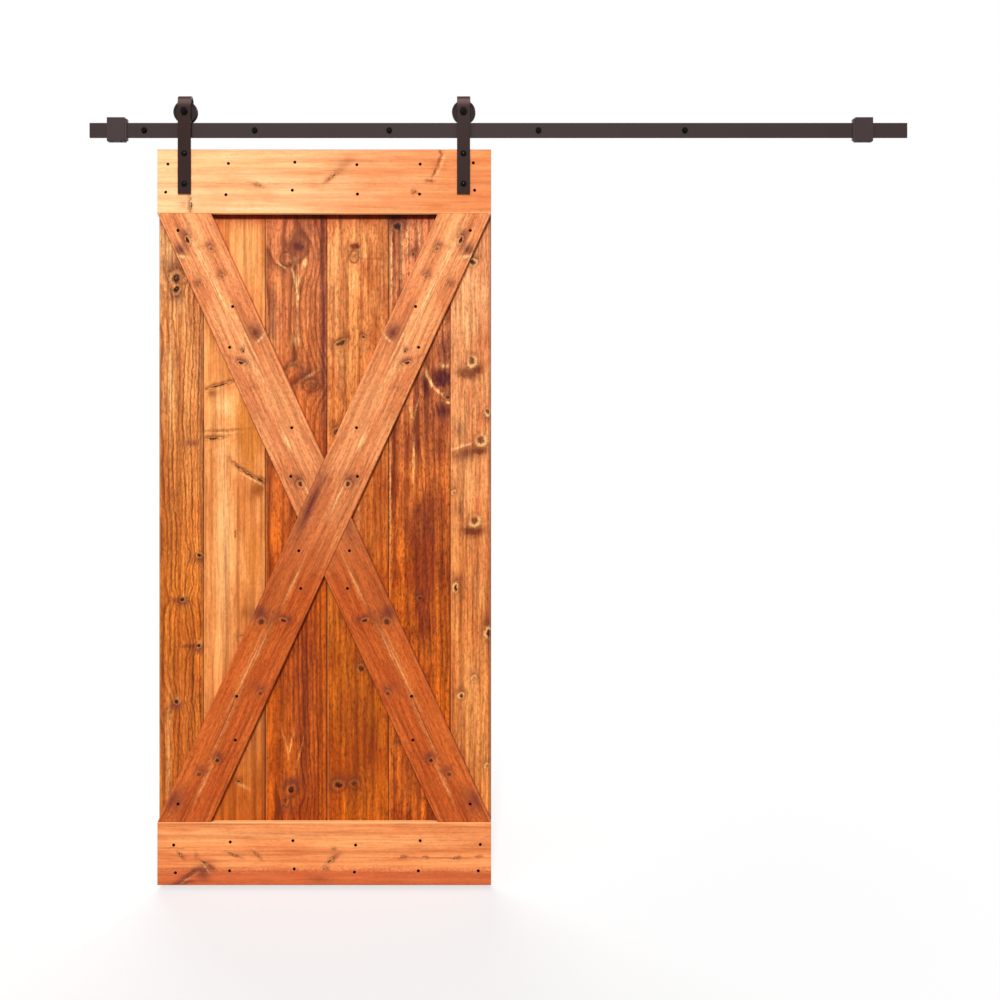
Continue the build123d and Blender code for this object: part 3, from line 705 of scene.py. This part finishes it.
board_marks["bottom_board"] = Marks(
    knots=(
        Mark(204.5, 862.3, 6.2, 1.2, 1, -35), Mark(230.5, 853.5, 5.6, 1.1, 0.95, -22),
        Mark(255, 853, 4.2, 1.1, 0.85, -40), Mark(329, 861.5, 5.8, 1.8, 0.9, 38),
        Mark(324, 868.5, 2.5, 1.5, 0.8), Mark(332.5, 849, 2, 1.2, 0.8), Mark(401, 857, 2.8, 1.2, 0.9),
        Mark(424, 857.5, 2.5, 1, 0.8), Mark(454, 858, 3, 1.1, 0.9), Mark(477, 856.5, 2.5, 1, 0.8),
        Mark(179, 853.5, 3.8, 1.1, 0.9, -45),
    ),
    stains=(
        Mark(189, 875, 18, 3.4, 1, 33), Mark(203, 873, 8, 8, 0.9), Mark(182, 883, 14, 2, 0.9, 10),
        Mark(171, 848, 14, 0.6, 0.6), Mark(430, 857.5, 70, 0.7, 0.5), Mark(196, 855, 2, 5, 0.4),
        Mark(320, 880, 12, 4, 0.4),
    ),
    pale=(
        Mark(260, 835, 90, 6, 0.3), Mark(400, 842, 80, 6, 0.3), Mark(206.5, 868.5, 4.4, 0.9, 0.55, -55),
        Mark(187, 880, 9, 0.8, 0.35, 33),
    ),
    tints=(Mark(327, 881, 400, 14),),
)
board_marks["brace"] = Marks(
    knots=(
        Mark(460.5, 240, 5.6, 3.2), Mark(437, 248.5, 4, 3.2, 0.8), Mark(426, 277, 4, 3, 0.75),
        Mark(450.5, 285, 2.5, 3.2, 0.75), Mark(405, 351.3, 2.2, 2), Mark(407, 363, 2.6, 5, 1, 40),
        Mark(395, 390, 2.8, 3, 0.5), Mark(348, 484, 5.2, 4.2), Mark(261, 622, 6.2, 5.8, 0.85),
        Mark(284, 620.5, 2.8, 5.5, 0.95), Mark(260.5, 693.5, 4.5, 3.5, 0.8, 30), Mark(217, 760.5, 4.2, 3.8),
        Mark(199, 774, 4, 4, 0.8),
    ),
    stains=(
        Mark(467.5, 249.5, 8, 7), Mark(392, 332, 9, 7), Mark(310, 505, 34, 5), Mark(322, 478, 8, 6, 0.6),
        Mark(259, 612, 9, 7, 0.9), Mark(270, 600, 30, 9, 0.4), Mark(175, 801, 14, 9, 0.9),
    ),
    pale=(
        Mark(467.5, 256.5, 1.3, 6.5, 1, 35), Mark(387.5, 338.5, 1.3, 5, 1, -23), Mark(448, 255, 26, 2.4),
        Mark(428, 297, 26, 2.6), Mark(405, 345, 30, 1.2, 0.9), Mark(398.5, 343, 26, 0.9, 0.8),
        Mark(384, 385, 34, 1, 0.8), Mark(362, 441, 12, 2.2), Mark(338, 497, 20, 1.2, 0.9),
        Mark(292, 585, 22, 1.6, 0.6), Mark(264, 640, 24, 1.2, 0.9), Mark(249, 668, 40, 0.9, 0.7),
        Mark(244, 672, 40, 0.8, 0.6), Mark(227, 722, 40, 1, 0.7), Mark(204, 782, 22, 1.4, 0.65),
    ),
)


def marks_on(shader, tree, grain, at, marks):
    """Chain of a mark's node group on a board, each adding to what came before it."""
    before = {}
    for mark in marks:
        along, across = grain.place(mark.x_px, mark.y_px)
        inputs = {
            "Grain": at,
            "Place": (along, across, 0),
            "Turn": (0, 0, math.radians(mark.turn)),
            "Size": (mark.long_px * pixel, mark.wide_px * pixel, 1),
            "Strength": mark.strength,
        }
        made = shader.node("ShaderNodeGroup", node_tree=tree)
        for key, value in (inputs | before).items():
            shader.feed(made.inputs[key], value)
        before = {output.name: output for output in made.outputs}
    return before


def wavering(shader, spot, seeded):
    """Place on the face, shifted a little here and there, and how uneven a mark's edge is there."""
    along, across, _ = shader.split(spot)
    uneven = shader.centred(shader.stretched(seeded, uneven_noise), uneven_share)
    at = shader.join(along, across, uneven)
    for waves, reach in wavers:
        waver = shader.node("ShaderNodeTexNoise", {"Vector": seeded, "Scale": waves}).outputs["Color"]
        shift = shader.vector("SUBTRACT", waver, (0.5, 0.5, 0.5))
        at = shader.vector("MULTIPLY_ADD", shift, (reach, reach, 0), at)
    return at


def growth_rings(shader, rings, spot, seeded, push):
    """Late wood, from 0 to 1, in rings round the log's centre line."""
    along, across, depth = shader.split(spot)
    aside = shader.math("SUBTRACT", across, shader.math("ADD", push, rings.pith_across))
    wander = ((sway_noise, rings.sway), (ripple_noise, rings.ripple), (quiver_noise, rings.quiver))
    for noise, reach in wander:
        aside = shader.math("ADD", aside, shader.centred(shader.stretched(seeded, noise), reach))
    rise = shader.math("MULTIPLY_ADD", along, rings.taper, rings.pith_depth)
    sway = shader.centred(shader.stretched(seeded, rise_noise), rings.sway)
    below = shader.math("ADD", shader.math("ADD", depth, rise), sway)
    radius = shader.length(shader.join(aside, below, 0.0))
    count = shader.math("DIVIDE", radius, rings.spacing)
    number = shader.math("FLOOR", count)
    random = shader.node("ShaderNodeTexWhiteNoise", {"W": number}, noise_dimensions="1D")
    late = shader.ramp(shader.math("FRACT", count), ring_profile)
    return shader.times(late, shader.ease(random.outputs["Value"], *ring_ease))


Patterns = namedtuple("Patterns", "late fibres strands mottle blotch bands streaks pores")


def wood_patterns(shader, look, spot, seeded, push):
    """What the grain shows, each from 0 to 1."""
    late = growth_rings(shader, look.rings, spot, seeded, push)
    fibres = shader.stretched(seeded, fibre_noise)
    strands = shader.stretched(seeded, strand_noise)
    mottle = shader.stretched(seeded, mottle_noise)
    blotch = shader.ease(shader.stretched(seeded, blotch_noise), *blotch_ease)
    bands = shader.stretched(seeded, band_noise)
    streaks = shader.ease(bands, band_ease.low, band_ease.high, 0.0, look.figure.streak_share)
    pores = shader.ease(shader.stretched(seeded, pore_noise), *pore_ease)
    pores = shader.times(pores, look.figure.fleck_share)
    late = shader.times(late, shader.ease(mottle, *late_ease))
    return Patterns(late, fibres, strands, mottle, blotch, bands, streaks, pores)


def wood_ground(shader, look, grain, spot, patterns):
    """Early and late wood and streaks of stain, darker towards the foot; and pale wood, tinted half as much
    there.
    """
    colours, figure, foot = look.colours, look.figure, look.foot
    colour = shader.mix(patterns.streaks, colours.early, colours.stain)
    blotch = shader.times(patterns.blotch, figure.blotch_share)
    colour = shader.mix(blotch, colour, colours.stain)
    colour = shader.mix(shader.times(patterns.late, figure.late_share), colour, colours.late)
    full, clear = foot.full_share * grain.reach, foot.clear_share * grain.reach
    deep = shader.ease(shader.split(spot)[0], full, clear, 1.0, 0.0)
    colour = shader.darken(deep, colour, foot.tint)
    deep = shader.times(deep, pale_foot_share)
    return colour, shader.mix(deep, wood_pale, tinted(wood_pale, foot.tint))


def wood_marks(shader, colours, grain, at, marks, patterns, colour, pale_tone):
    """Tinted parts, soaked smudges, pale streaks and rings, each over the one before."""
    if marks.tints:
        tint = marks_on(shader, patch_tree, grain, at, marks.tints)["Patch"]
        colour = shader.mix(shader.ease(tint, *tint_ease), colour, colours.tint)
    stain = marks_on(shader, patch_tree, grain, at, marks.stains)["Patch"]
    soaked = shader.ease(shader.math("ADD", patterns.mottle, patterns.late), *soak_ease)
    colour = shader.mix(shader.times(stain, soaked), colour, colours.soak)
    pale = marks_on(shader, patch_tree, grain, at, marks.pale)["Patch"]
    pale = shader.times(pale, shader.ease(patterns.strands, *streak_ease))
    colour = shader.mix(pale, colour, pale_tone)
    if marks.rings:
        ring = marks_on(shader, ring_tree, grain, at, marks.rings)["Patch"]
        colour = shader.mix(ring, colour, wood_heart)
    return colour


def uneven_tone(shader, noise, amount):
    """Noise as a tone about 1: dark where it is low and half as much lighter where it is high.

    With a negative amount it is dark where the noise is high.
    """
    tones = (1 - amount, 1.0, 1 + amount / 2)
    if amount < 0:
        tones = (1 - amount / 2, 1.0, 1 + amount)
    return shader.ramp(noise, tuple(zip(tone_places, tones)))


def wood_tones(shader, look, patterns, colour):
    """Fine unevenness: streaks, mottling, strands, fibres and pores."""
    figure = look.figure
    tones = (
        uneven_tone(shader, patterns.bands, streak_tone_share * figure.streak_share),
        uneven_tone(shader, patterns.mottle, mottle_tone_share * figure.mottle_share),
        uneven_tone(shader, patterns.strands, strand_tone_share * figure.fibre_share),
        uneven_tone(shader, patterns.fibres, fibre_tone_share * figure.fibre_share),
    )
    for tone in tones:
        colour = shader.darken(1.0, colour, tone)
    return shader.mix(patterns.pores, colour, look.colours.late)


def wood_knots(shader, look, seeded, knot, colour, pale_tone):
    """Knots lie over the rest, broken up by fine specks; their dark cores are given back too."""
    speck = shader.stretched(seeded, speck_noise)
    rim = shader.times(knot["Rim"], shader.ease(speck, *rim_speck_ease))
    core = shader.times(knot["Core"], shader.ease(speck, *core_speck_ease))
    colour = shader.mix(shader.times(knot["Smudge"], smudge_share), colour, look.colours.soak)
    colour = shader.mix(shader.times(knot["Pale"], look.figure.eye_share), colour, pale_tone)
    colour = shader.mix(shader.times(rim, rim_share), colour, wood_heart)
    return shader.mix(core, colour, wood_dark), core


def wood(name, look, grain, marks, edges):
    """Oiled pine: growth rings bent round knots, with stain, streaks, mottling and pores."""
    material, shader = new_material(name)
    spot = grain.coordinates(shader)
    seeded = shader.vector("ADD", spot, (look.seed, 0, 0))
    at = wavering(shader, spot, seeded)
    knot = marks_on(shader, knot_tree, grain, at, marks.knots)
    patterns = wood_patterns(shader, look, spot, seeded, knot["Push"])
    colour, pale_tone = wood_ground(shader, look, grain, spot, patterns)
    colour = wood_marks(shader, look.colours, grain, at, marks, patterns, colour, pale_tone)
    colour = wood_tones(shader, look, patterns, colour)
    colour, core = wood_knots(shader, look, seeded, knot, colour, pale_tone)
    colour = edges(shader, grain, spot, colour)
    height = shader.math("MULTIPLY_ADD", patterns.late, late_height_share, patterns.fibres)
    height = shader.math("MULTIPLY_ADD", patterns.mottle, mottle_height_share, height)
    height = shader.math("SUBTRACT", height, shader.largest([core, patterns.pores]))
    rough = shader.ease(shader.math("ADD", patterns.fibres, patterns.blotch), *wood_rough_ease)
    surface(shader, colour, rough, height, wood_relief, wood_gloss)
    return material


def plank_edges(shader, grain, spot, colour):
    """Dark grooves between planks with painted shade and a painted highlight line; in front, painted shadow
    below the header and along the braces.
    """
    along, across, depth = shader.split(spot)
    off = shader.math("ABSOLUTE", across)
    # Painted shade along one side of each groove
    shade = shader.ease(across, -grain.half, groove_shade_width - grain.half, groove_shade_share, 0.0)
    colour = shader.mix(shade, colour, wood_purple)
    # Painted highlight: a pale line just inside each edge
    line = shader.bell(off, grain.half - groove_highlight_inset, 1 / groove_width)
    colour = shader.mix(shader.times(line, groove_highlight_share), colour, wood_pale)
    groove = shader.ease(off, grain.half - groove_width, grain.half, 0.0, groove_share)
    colour = shader.mix(groove, colour, wood_groove)

    face = plank_low.y - leaf_front
    in_front = shader.ease(depth, face, face + front_fade, 1.0, 0.0)
    # Painted shadow below the header, soft at first and dark near the header, on the front face only
    top = header_low.z - grain.z
    soft_shade = shader.ease(along, top - header_soft_shade_width, top)
    colour = shader.darken(shader.times(soft_shade, in_front), colour, soft_shade_tint)
    header_shade = shader.ease(along, top - header_shade_width, top - header_shade_dark_width)
    # Painted shadow along the braces' edges
    away = beside_braces(shader, grain, along, across)
    brace_shade = shader.ease(away, 0.0, brace_shade_width, brace_shade_share, 0.0)
    header_shade = shader.times(shader.largest([header_shade, brace_shade]), in_front)
    return shader.darken(header_shade, colour, painted_shade_tint)


def beside_braces(shader, grain, along, across):
    """Distance of a point of a plank from the nearer brace's edge."""
    brace = brace_grain(False)
    rise = shader.math("ADD", along, grain.z - brace.z)
    rise = shader.times(rise, math.cos(brace.angle))
    run = shader.math("SUBTRACT", grain.x - brace.x, across)
    run = shader.times(run, math.sin(brace.angle))
    rising = shader.math("ABSOLUTE", shader.math("SUBTRACT", rise, run))
    falling = shader.math("ABSOLUTE", shader.math("ADD", rise, run))
    return shader.math("SUBTRACT", shader.math("MINIMUM", rising, falling), brace.half)


def lit_and_shaded_edges(shader, grain, spot, colour, shares):
    """Painted light along one long edge of a board, and painted shade along the other."""
    pale_share, dark_share = shares
    across = shader.split(spot)[1]
    pale = shader.ease(across, grain.half - board_edge_width, grain.half, 0.0, pale_share)
    colour = shader.mix(pale, colour, wood_pale)
    dark = shader.ease(across, -grain.half, board_edge_width - grain.half, dark_share, 0.0)
    return shader.mix(dark, colour, edge_shade_tone)


def board_edges(shader, grain, spot, colour):
    """Edges of the header and of the bottom board."""
    return lit_and_shaded_edges(shader, grain, spot, colour, board_edge_shares)


def brace_edges(shader, grain, spot, colour):
    """Edges of the braces."""
    return lit_and_shaded_edges(shader, grain, spot, colour, brace_edge_shares)


def dress_boards():
    """Planks stand up, the header's grain runs left, and the bottom board's runs right."""
    boards = {name: (90, plank_edges) for name in looks if name.startswith("plank")}
    boards |= {"header_board": (180, board_edges), "bottom_board": (0, board_edges)}
    for name, (angle, edges) in boards.items():
        low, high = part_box(name)
        size = (high.x - low.x, high.z - low.z)
        grain = Grain(low, high, math.radians(angle), max(size) / 2, min(size) / 2)
        dress(name, wood(name, looks[name], grain, board_marks[name], edges))
    rising = wood("rising_brace", looks["brace"], brace_grain(False), board_marks["brace"], brace_edges)
    falling = wood("falling_brace", looks["brace"], brace_grain(True), board_marks["brace"], brace_edges)
    dress("long_brace", rising)
    dress("upper_half_brace", falling)
    dress("lower_half_brace", falling)


# Coated metal: clouds and rubbed spots in it, the grain of the coat, and how far roughness swings
cloud_noise = Noise(9.0, 9.0, 4.0, 0.6)
cloud_ease = Ease(0.3, 0.7, 0.0, 0.35)
rub_noise = Noise(70.0, 70.0, 5.0, 0.7)
rub_ease = Ease(0.60, 0.74)
rub_share = 0.30
coat_noise = Noise(1500.0, 1500.0, 2.0, 0.6)
coat_relief = Relief(0.25, 0.0002)
coat_rough_swing = 0.14

# Painted highlight on the straps, a lighter band where they bend over the wheels: how far below the top,
# and half height
bend_highlight_drop = 0.018
bend_highlight_reach = 0.009
bend_highlight_tone = rgb(100, 76, 74)
bend_highlight_share = 0.85

# Bare steel: grinding lines, clouds and how dark they are
ground_noise = Noise(2600.0, 500.0)
steel_cloud_noise = Noise(70.0, 70.0, 3.0)
steel_cloud_ease = Ease(0.3, 0.7)
steel_shade = (0.75, 0.75, 0.75, 1)
steel_rough_swing = 0.2
steel_relief = Relief(0.15, 0.0002)

# Rubber and the dust on it
rubber_noise = Noise(1500.0, 1500.0)
rubber_relief = Relief(0.3, 0.0002)
rubber_tone = rgb(62, 50, 51)
rubber_gloss = 0.2
dust_noise = Noise(70.0, 70.0, 4.0, 0.7)
dust_ease = Ease(0.45, 0.75)
dust_tone = rgb(84, 72, 72)
dust_share = 0.4
dust_rough_ease = Ease(0.0, 1.0, 0.62, 0.8)


def coated_metal(name, colour, worn, roughness, gloss, bend=None):
    """Powder-coated or blackened steel: fine grain, faint cloudiness, rubbed spots and, where a bend is
    given, a painted highlight across it.
    """
    material, shader = new_material(name)
    point = shader.point()
    clouds = shader.stretched(point, cloud_noise)
    grain = shader.stretched(point, coat_noise)
    rubbed = shader.ease(shader.stretched(point, rub_noise), *rub_ease)
    tint = shader.mix(shader.ease(clouds, *cloud_ease), colour, worn)
    tint = shader.mix(shader.times(rubbed, rub_share), tint, worn)
    # Painted highlight across the strap's bend
    if bend is not None:
        band = shader.bell(shader.split(point)[2], bend, 1 / bend_highlight_reach)
        tint = shader.mix(shader.times(band, bend_highlight_share), tint, bend_highlight_tone)
    swing = shader.math("ADD", clouds, grain)
    rough = shader.math("MULTIPLY_ADD", swing, coat_rough_swing, roughness - coat_rough_swing)
    surface(shader, tint, rough, grain, coat_relief, gloss)
    return material


def bare_steel(name, colour, roughness):
    """Ground steel of the bearing."""
    material, shader = new_material(name)
    point = shader.point()
    lines = shader.stretched(point, ground_noise)
    clouds = shader.stretched(point, steel_cloud_noise)
    tint = shader.mix(shader.ease(clouds, *steel_cloud_ease), colour, tinted(colour, steel_shade))
    rough = shader.math("MULTIPLY_ADD", lines, steel_rough_swing, roughness)
    surface(shader, tint, rough, lines, steel_relief, metal=1.0)
    return material


def rubber(name):
    """Matt black moulded rubber."""
    material, shader = new_material(name)
    point = shader.point()
    dust = shader.ease(shader.stretched(point, dust_noise), *dust_ease)
    grain = shader.stretched(point, rubber_noise)
    tint = shader.mix(shader.times(dust, dust_share), rubber_tone, dust_tone)
    rough = shader.ease(dust, *dust_rough_ease)
    surface(shader, tint, rough, grain, rubber_relief, rubber_gloss)
    return material


def dress_hardware():
    """Materials of the hardware, by the endings of the nodes' names; gives back the fasteners'."""
    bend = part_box("left_hanger_strap")[1].z - bend_highlight_drop
    bronze = coated_metal("dark_bronze", rgb(52, 40, 39), rgb(61, 48, 47), roughness=0.58, gloss=0.12)
    strap_tones = (rgb(40, 22, 18), rgb(49, 30, 26))
    strap = coated_metal("strap_bronze", *strap_tones, roughness=0.44, gloss=0.10, bend=bend)
    stop = coated_metal("stop_bronze", rgb(59, 46, 47), rgb(68, 54, 54), roughness=0.60, gloss=0.12)
    wheel = coated_metal("blackened_wheel", rgb(42, 32, 32), rgb(52, 42, 41), roughness=0.62, gloss=0.10)
    black = coated_metal("black_fasteners", rgb(5, 3, 3), rgb(12, 8, 7), roughness=0.20, gloss=0.08)
    ring_steel = bare_steel("bearing_steel", (0.62, 0.61, 0.60, 1), roughness=0.16)
    sheet_steel = bare_steel("pressed_steel", (0.50, 0.49, 0.47, 1), roughness=0.28)
    bumper = rubber("bumper_rubber")
    by_ending = {
        "_rail": bronze, "_stop_block": stop, "_strap": strap, "_wheel": wheel,
        "_bolts": black, "_bolt": black, "_nut": black, "_nuts": black, "_washers": black,
        "_screws": black, "_bushes": ring_steel, "_ring": ring_steel, "_balls": ring_steel,
        "_cage": sheet_steel, "_shields": sheet_steel, "_circlip": sheet_steel, "_bumper": bumper,
    }
    for name in nodes:
        if name.startswith("rail_spacer"):
            dress(name, bronze)
        for ending, material in by_ending.items():
            if name.endswith(ending):
                dress(name, material)
    return black


def lag_threads(material):
    """Coarse thread on the wall end of each lag bolt, running out along its point."""
    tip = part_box("rail_lag_bolts")[1].y
    for mount in frame["record"]["mounts"]:
        if not mount["name"].startswith("lag_bolt"):
            continue
        root = mount["dims"]["r_mm"] / metre_mm
        length = mount["dims"]["length_mm"] / metre_mm
        name = mount["name"] + "_thread"
        mesh = thread_mesh(name, root, length, tip)
        thread = bpy.data.objects.new(name, mesh)
        thread.location = mount["pos_m"]
        bpy.context.scene.collection.objects.link(thread)
        mesh.materials.append(material)
        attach(thread, "track")


def thread_mesh(name, root, length, tip):
    """Helical ridge about Y: foot, crest and foot at each step, closed at its two ends."""
    start = thread_pitch
    end = tip - thread_pitch
    count = int((end - start) / thread_pitch * thread_steps)
    points = []
    for step in range(count + 1):
        y = start + (end - start) * step / count
        turn = 2 * math.pi * step / thread_steps
        inner = root * min(1.0, (tip - y) / (tip - length)) * thread_root_share
        fade = min(1.0, step / thread_steps, (count - step) / thread_steps)
        ridge = inner + thread_depth * max(fade, thread_end_share)
        for radius, offset in zip((inner, ridge, ridge, inner), thread_offset_shares):
            points.append((radius * math.cos(turn), y + offset * thread_pitch, radius * math.sin(turn)))
    sides = len(thread_offset_shares)
    faces = [tuple(range(sides)), tuple(sides * count + side for side in reversed(range(sides)))]
    for step in range(count):
        a, b = sides * step, sides * (step + 1)
        for side in range(sides):
            beyond = (side + 1) % sides
            faces.append((a + side, b + side, b + beyond, a + beyond))
    mesh = bpy.data.meshes.new(name)
    mesh.from_pydata(points, [], faces)
    return mesh


# Stage


def floor():
    """Pale floor that takes the object's shadow, and goes over into the white background."""
    size = floor_size / 2
    corners = [(-size, -size, 0), (size, -size, 0), (size, size, 0), (-size, size, 0)]
    mesh = bpy.data.meshes.new("floor")
    mesh.from_pydata(corners, [], [(0, 1, 2, 3)])
    plane = bpy.data.objects.new("floor", mesh)
    plane.location = (leaf_middle, 0, leaf_bottom - floor_gap)
    bpy.context.scene.collection.objects.link(plane)
    material, shader = new_material("pale_floor")
    diffuse = shader.node("ShaderNodeBsdfDiffuse", {"Color": floor_tone}).outputs[0]
    glow = shader.node("ShaderNodeEmission", {"Color": white, "Strength": 1.0}).outputs[0]
    share = shader.ease(shader.length(shader.point()), floor_near, floor_far, floor_white_share, 1.0)
    share = shader.times(share, seen_rays(shader))
    mixed = shader.node("ShaderNodeMixShader", {0: share, 1: diffuse, 2: glow}).outputs[0]
    shader.node("ShaderNodeOutputMaterial", {"Surface": mixed})
    mesh.materials.append(material)


def seen_rays(shader):
    """1 for what the camera sees, also by reflection or through glass."""
    path = shader.node("ShaderNodeLightPath").outputs
    return shader.largest([path["Is Camera Ray"], path["Is Glossy Ray"], path["Is Transmission Ray"]])


def world():
    """White behind the object and in its reflections, soft grey light from all round."""
    made = bpy.data.worlds.new("studio")
    bpy.context.scene.world = made
    made.use_nodes = True
    made.node_tree.nodes.clear()
    shader = Shader(made.node_tree)
    strength = shader.ease(seen_rays(shader), 0.0, 1.0, world_light, 1.0)
    background = shader.node("ShaderNodeBackground", {"Color": white, "Strength": strength})
    shader.node("ShaderNodeOutputWorld", {"Surface": background.outputs[0]})


def area_light(name, lamp):
    """Soft lamp that looks at the middle of the leaf."""
    data = bpy.data.lights.new(name, "AREA")
    data.shape = "RECTANGLE"
    data.size = lamp.width
    data.size_y = lamp.depth
    data.energy = lamp.power
    made = bpy.data.objects.new(name, data)
    made.location = (leaf_middle + lamp.right, leaf_front + lamp.back, leaf_top + lamp.up)
    target = Vector((leaf_middle, leaf_front, (leaf_top + leaf_bottom) / 2))
    made.rotation_mode = "QUATERNION"
    made.rotation_quaternion = (target - made.location).to_track_quat("-Z", "Y")
    bpy.context.scene.collection.objects.link(made)


def sun_light():
    """Main light from the front and above, as soft as a large lamp some way off."""
    data = bpy.data.lights.new("key", "SUN")
    data.energy = key_strength
    data.angle = math.radians(key_softness)
    lamp = bpy.data.objects.new("key", data)
    lamp.rotation_euler = (math.radians(90 - key_height), 0, 0)
    bpy.context.scene.collection.objects.link(lamp)


def camera():
    """Straight view with the photograph's frame, from the height that its perspective shows."""
    frame_width = photo_size_px * pixel
    middle_x, middle_z = photo_place(photo_size_px / 2, photo_size_px / 2)
    _, eye_z = photo_place(photo_size_px / 2, camera_height_px)
    data = bpy.data.cameras.new("photo_camera")
    data.sensor_width = sensor_width_mm
    data.lens = sensor_width_mm * camera_distance / frame_width
    data.shift_y = (middle_z - eye_z) / frame_width
    data.clip_end = camera_range
    eye = bpy.data.objects.new("photo_camera", data)
    eye.location = (middle_x, leaf_front - camera_distance, eye_z)
    eye.rotation_euler = (math.radians(90), 0, 0)
    bpy.context.scene.collection.objects.link(eye)
    bpy.context.scene.camera = eye


dress_boards()
lag_threads(dress_hardware())
floor()
world()
sun_light()
area_light("top", top_lamp)
area_light("back", back_lamp)
camera()
bpy.context.scene.view_settings.view_transform = "Standard"
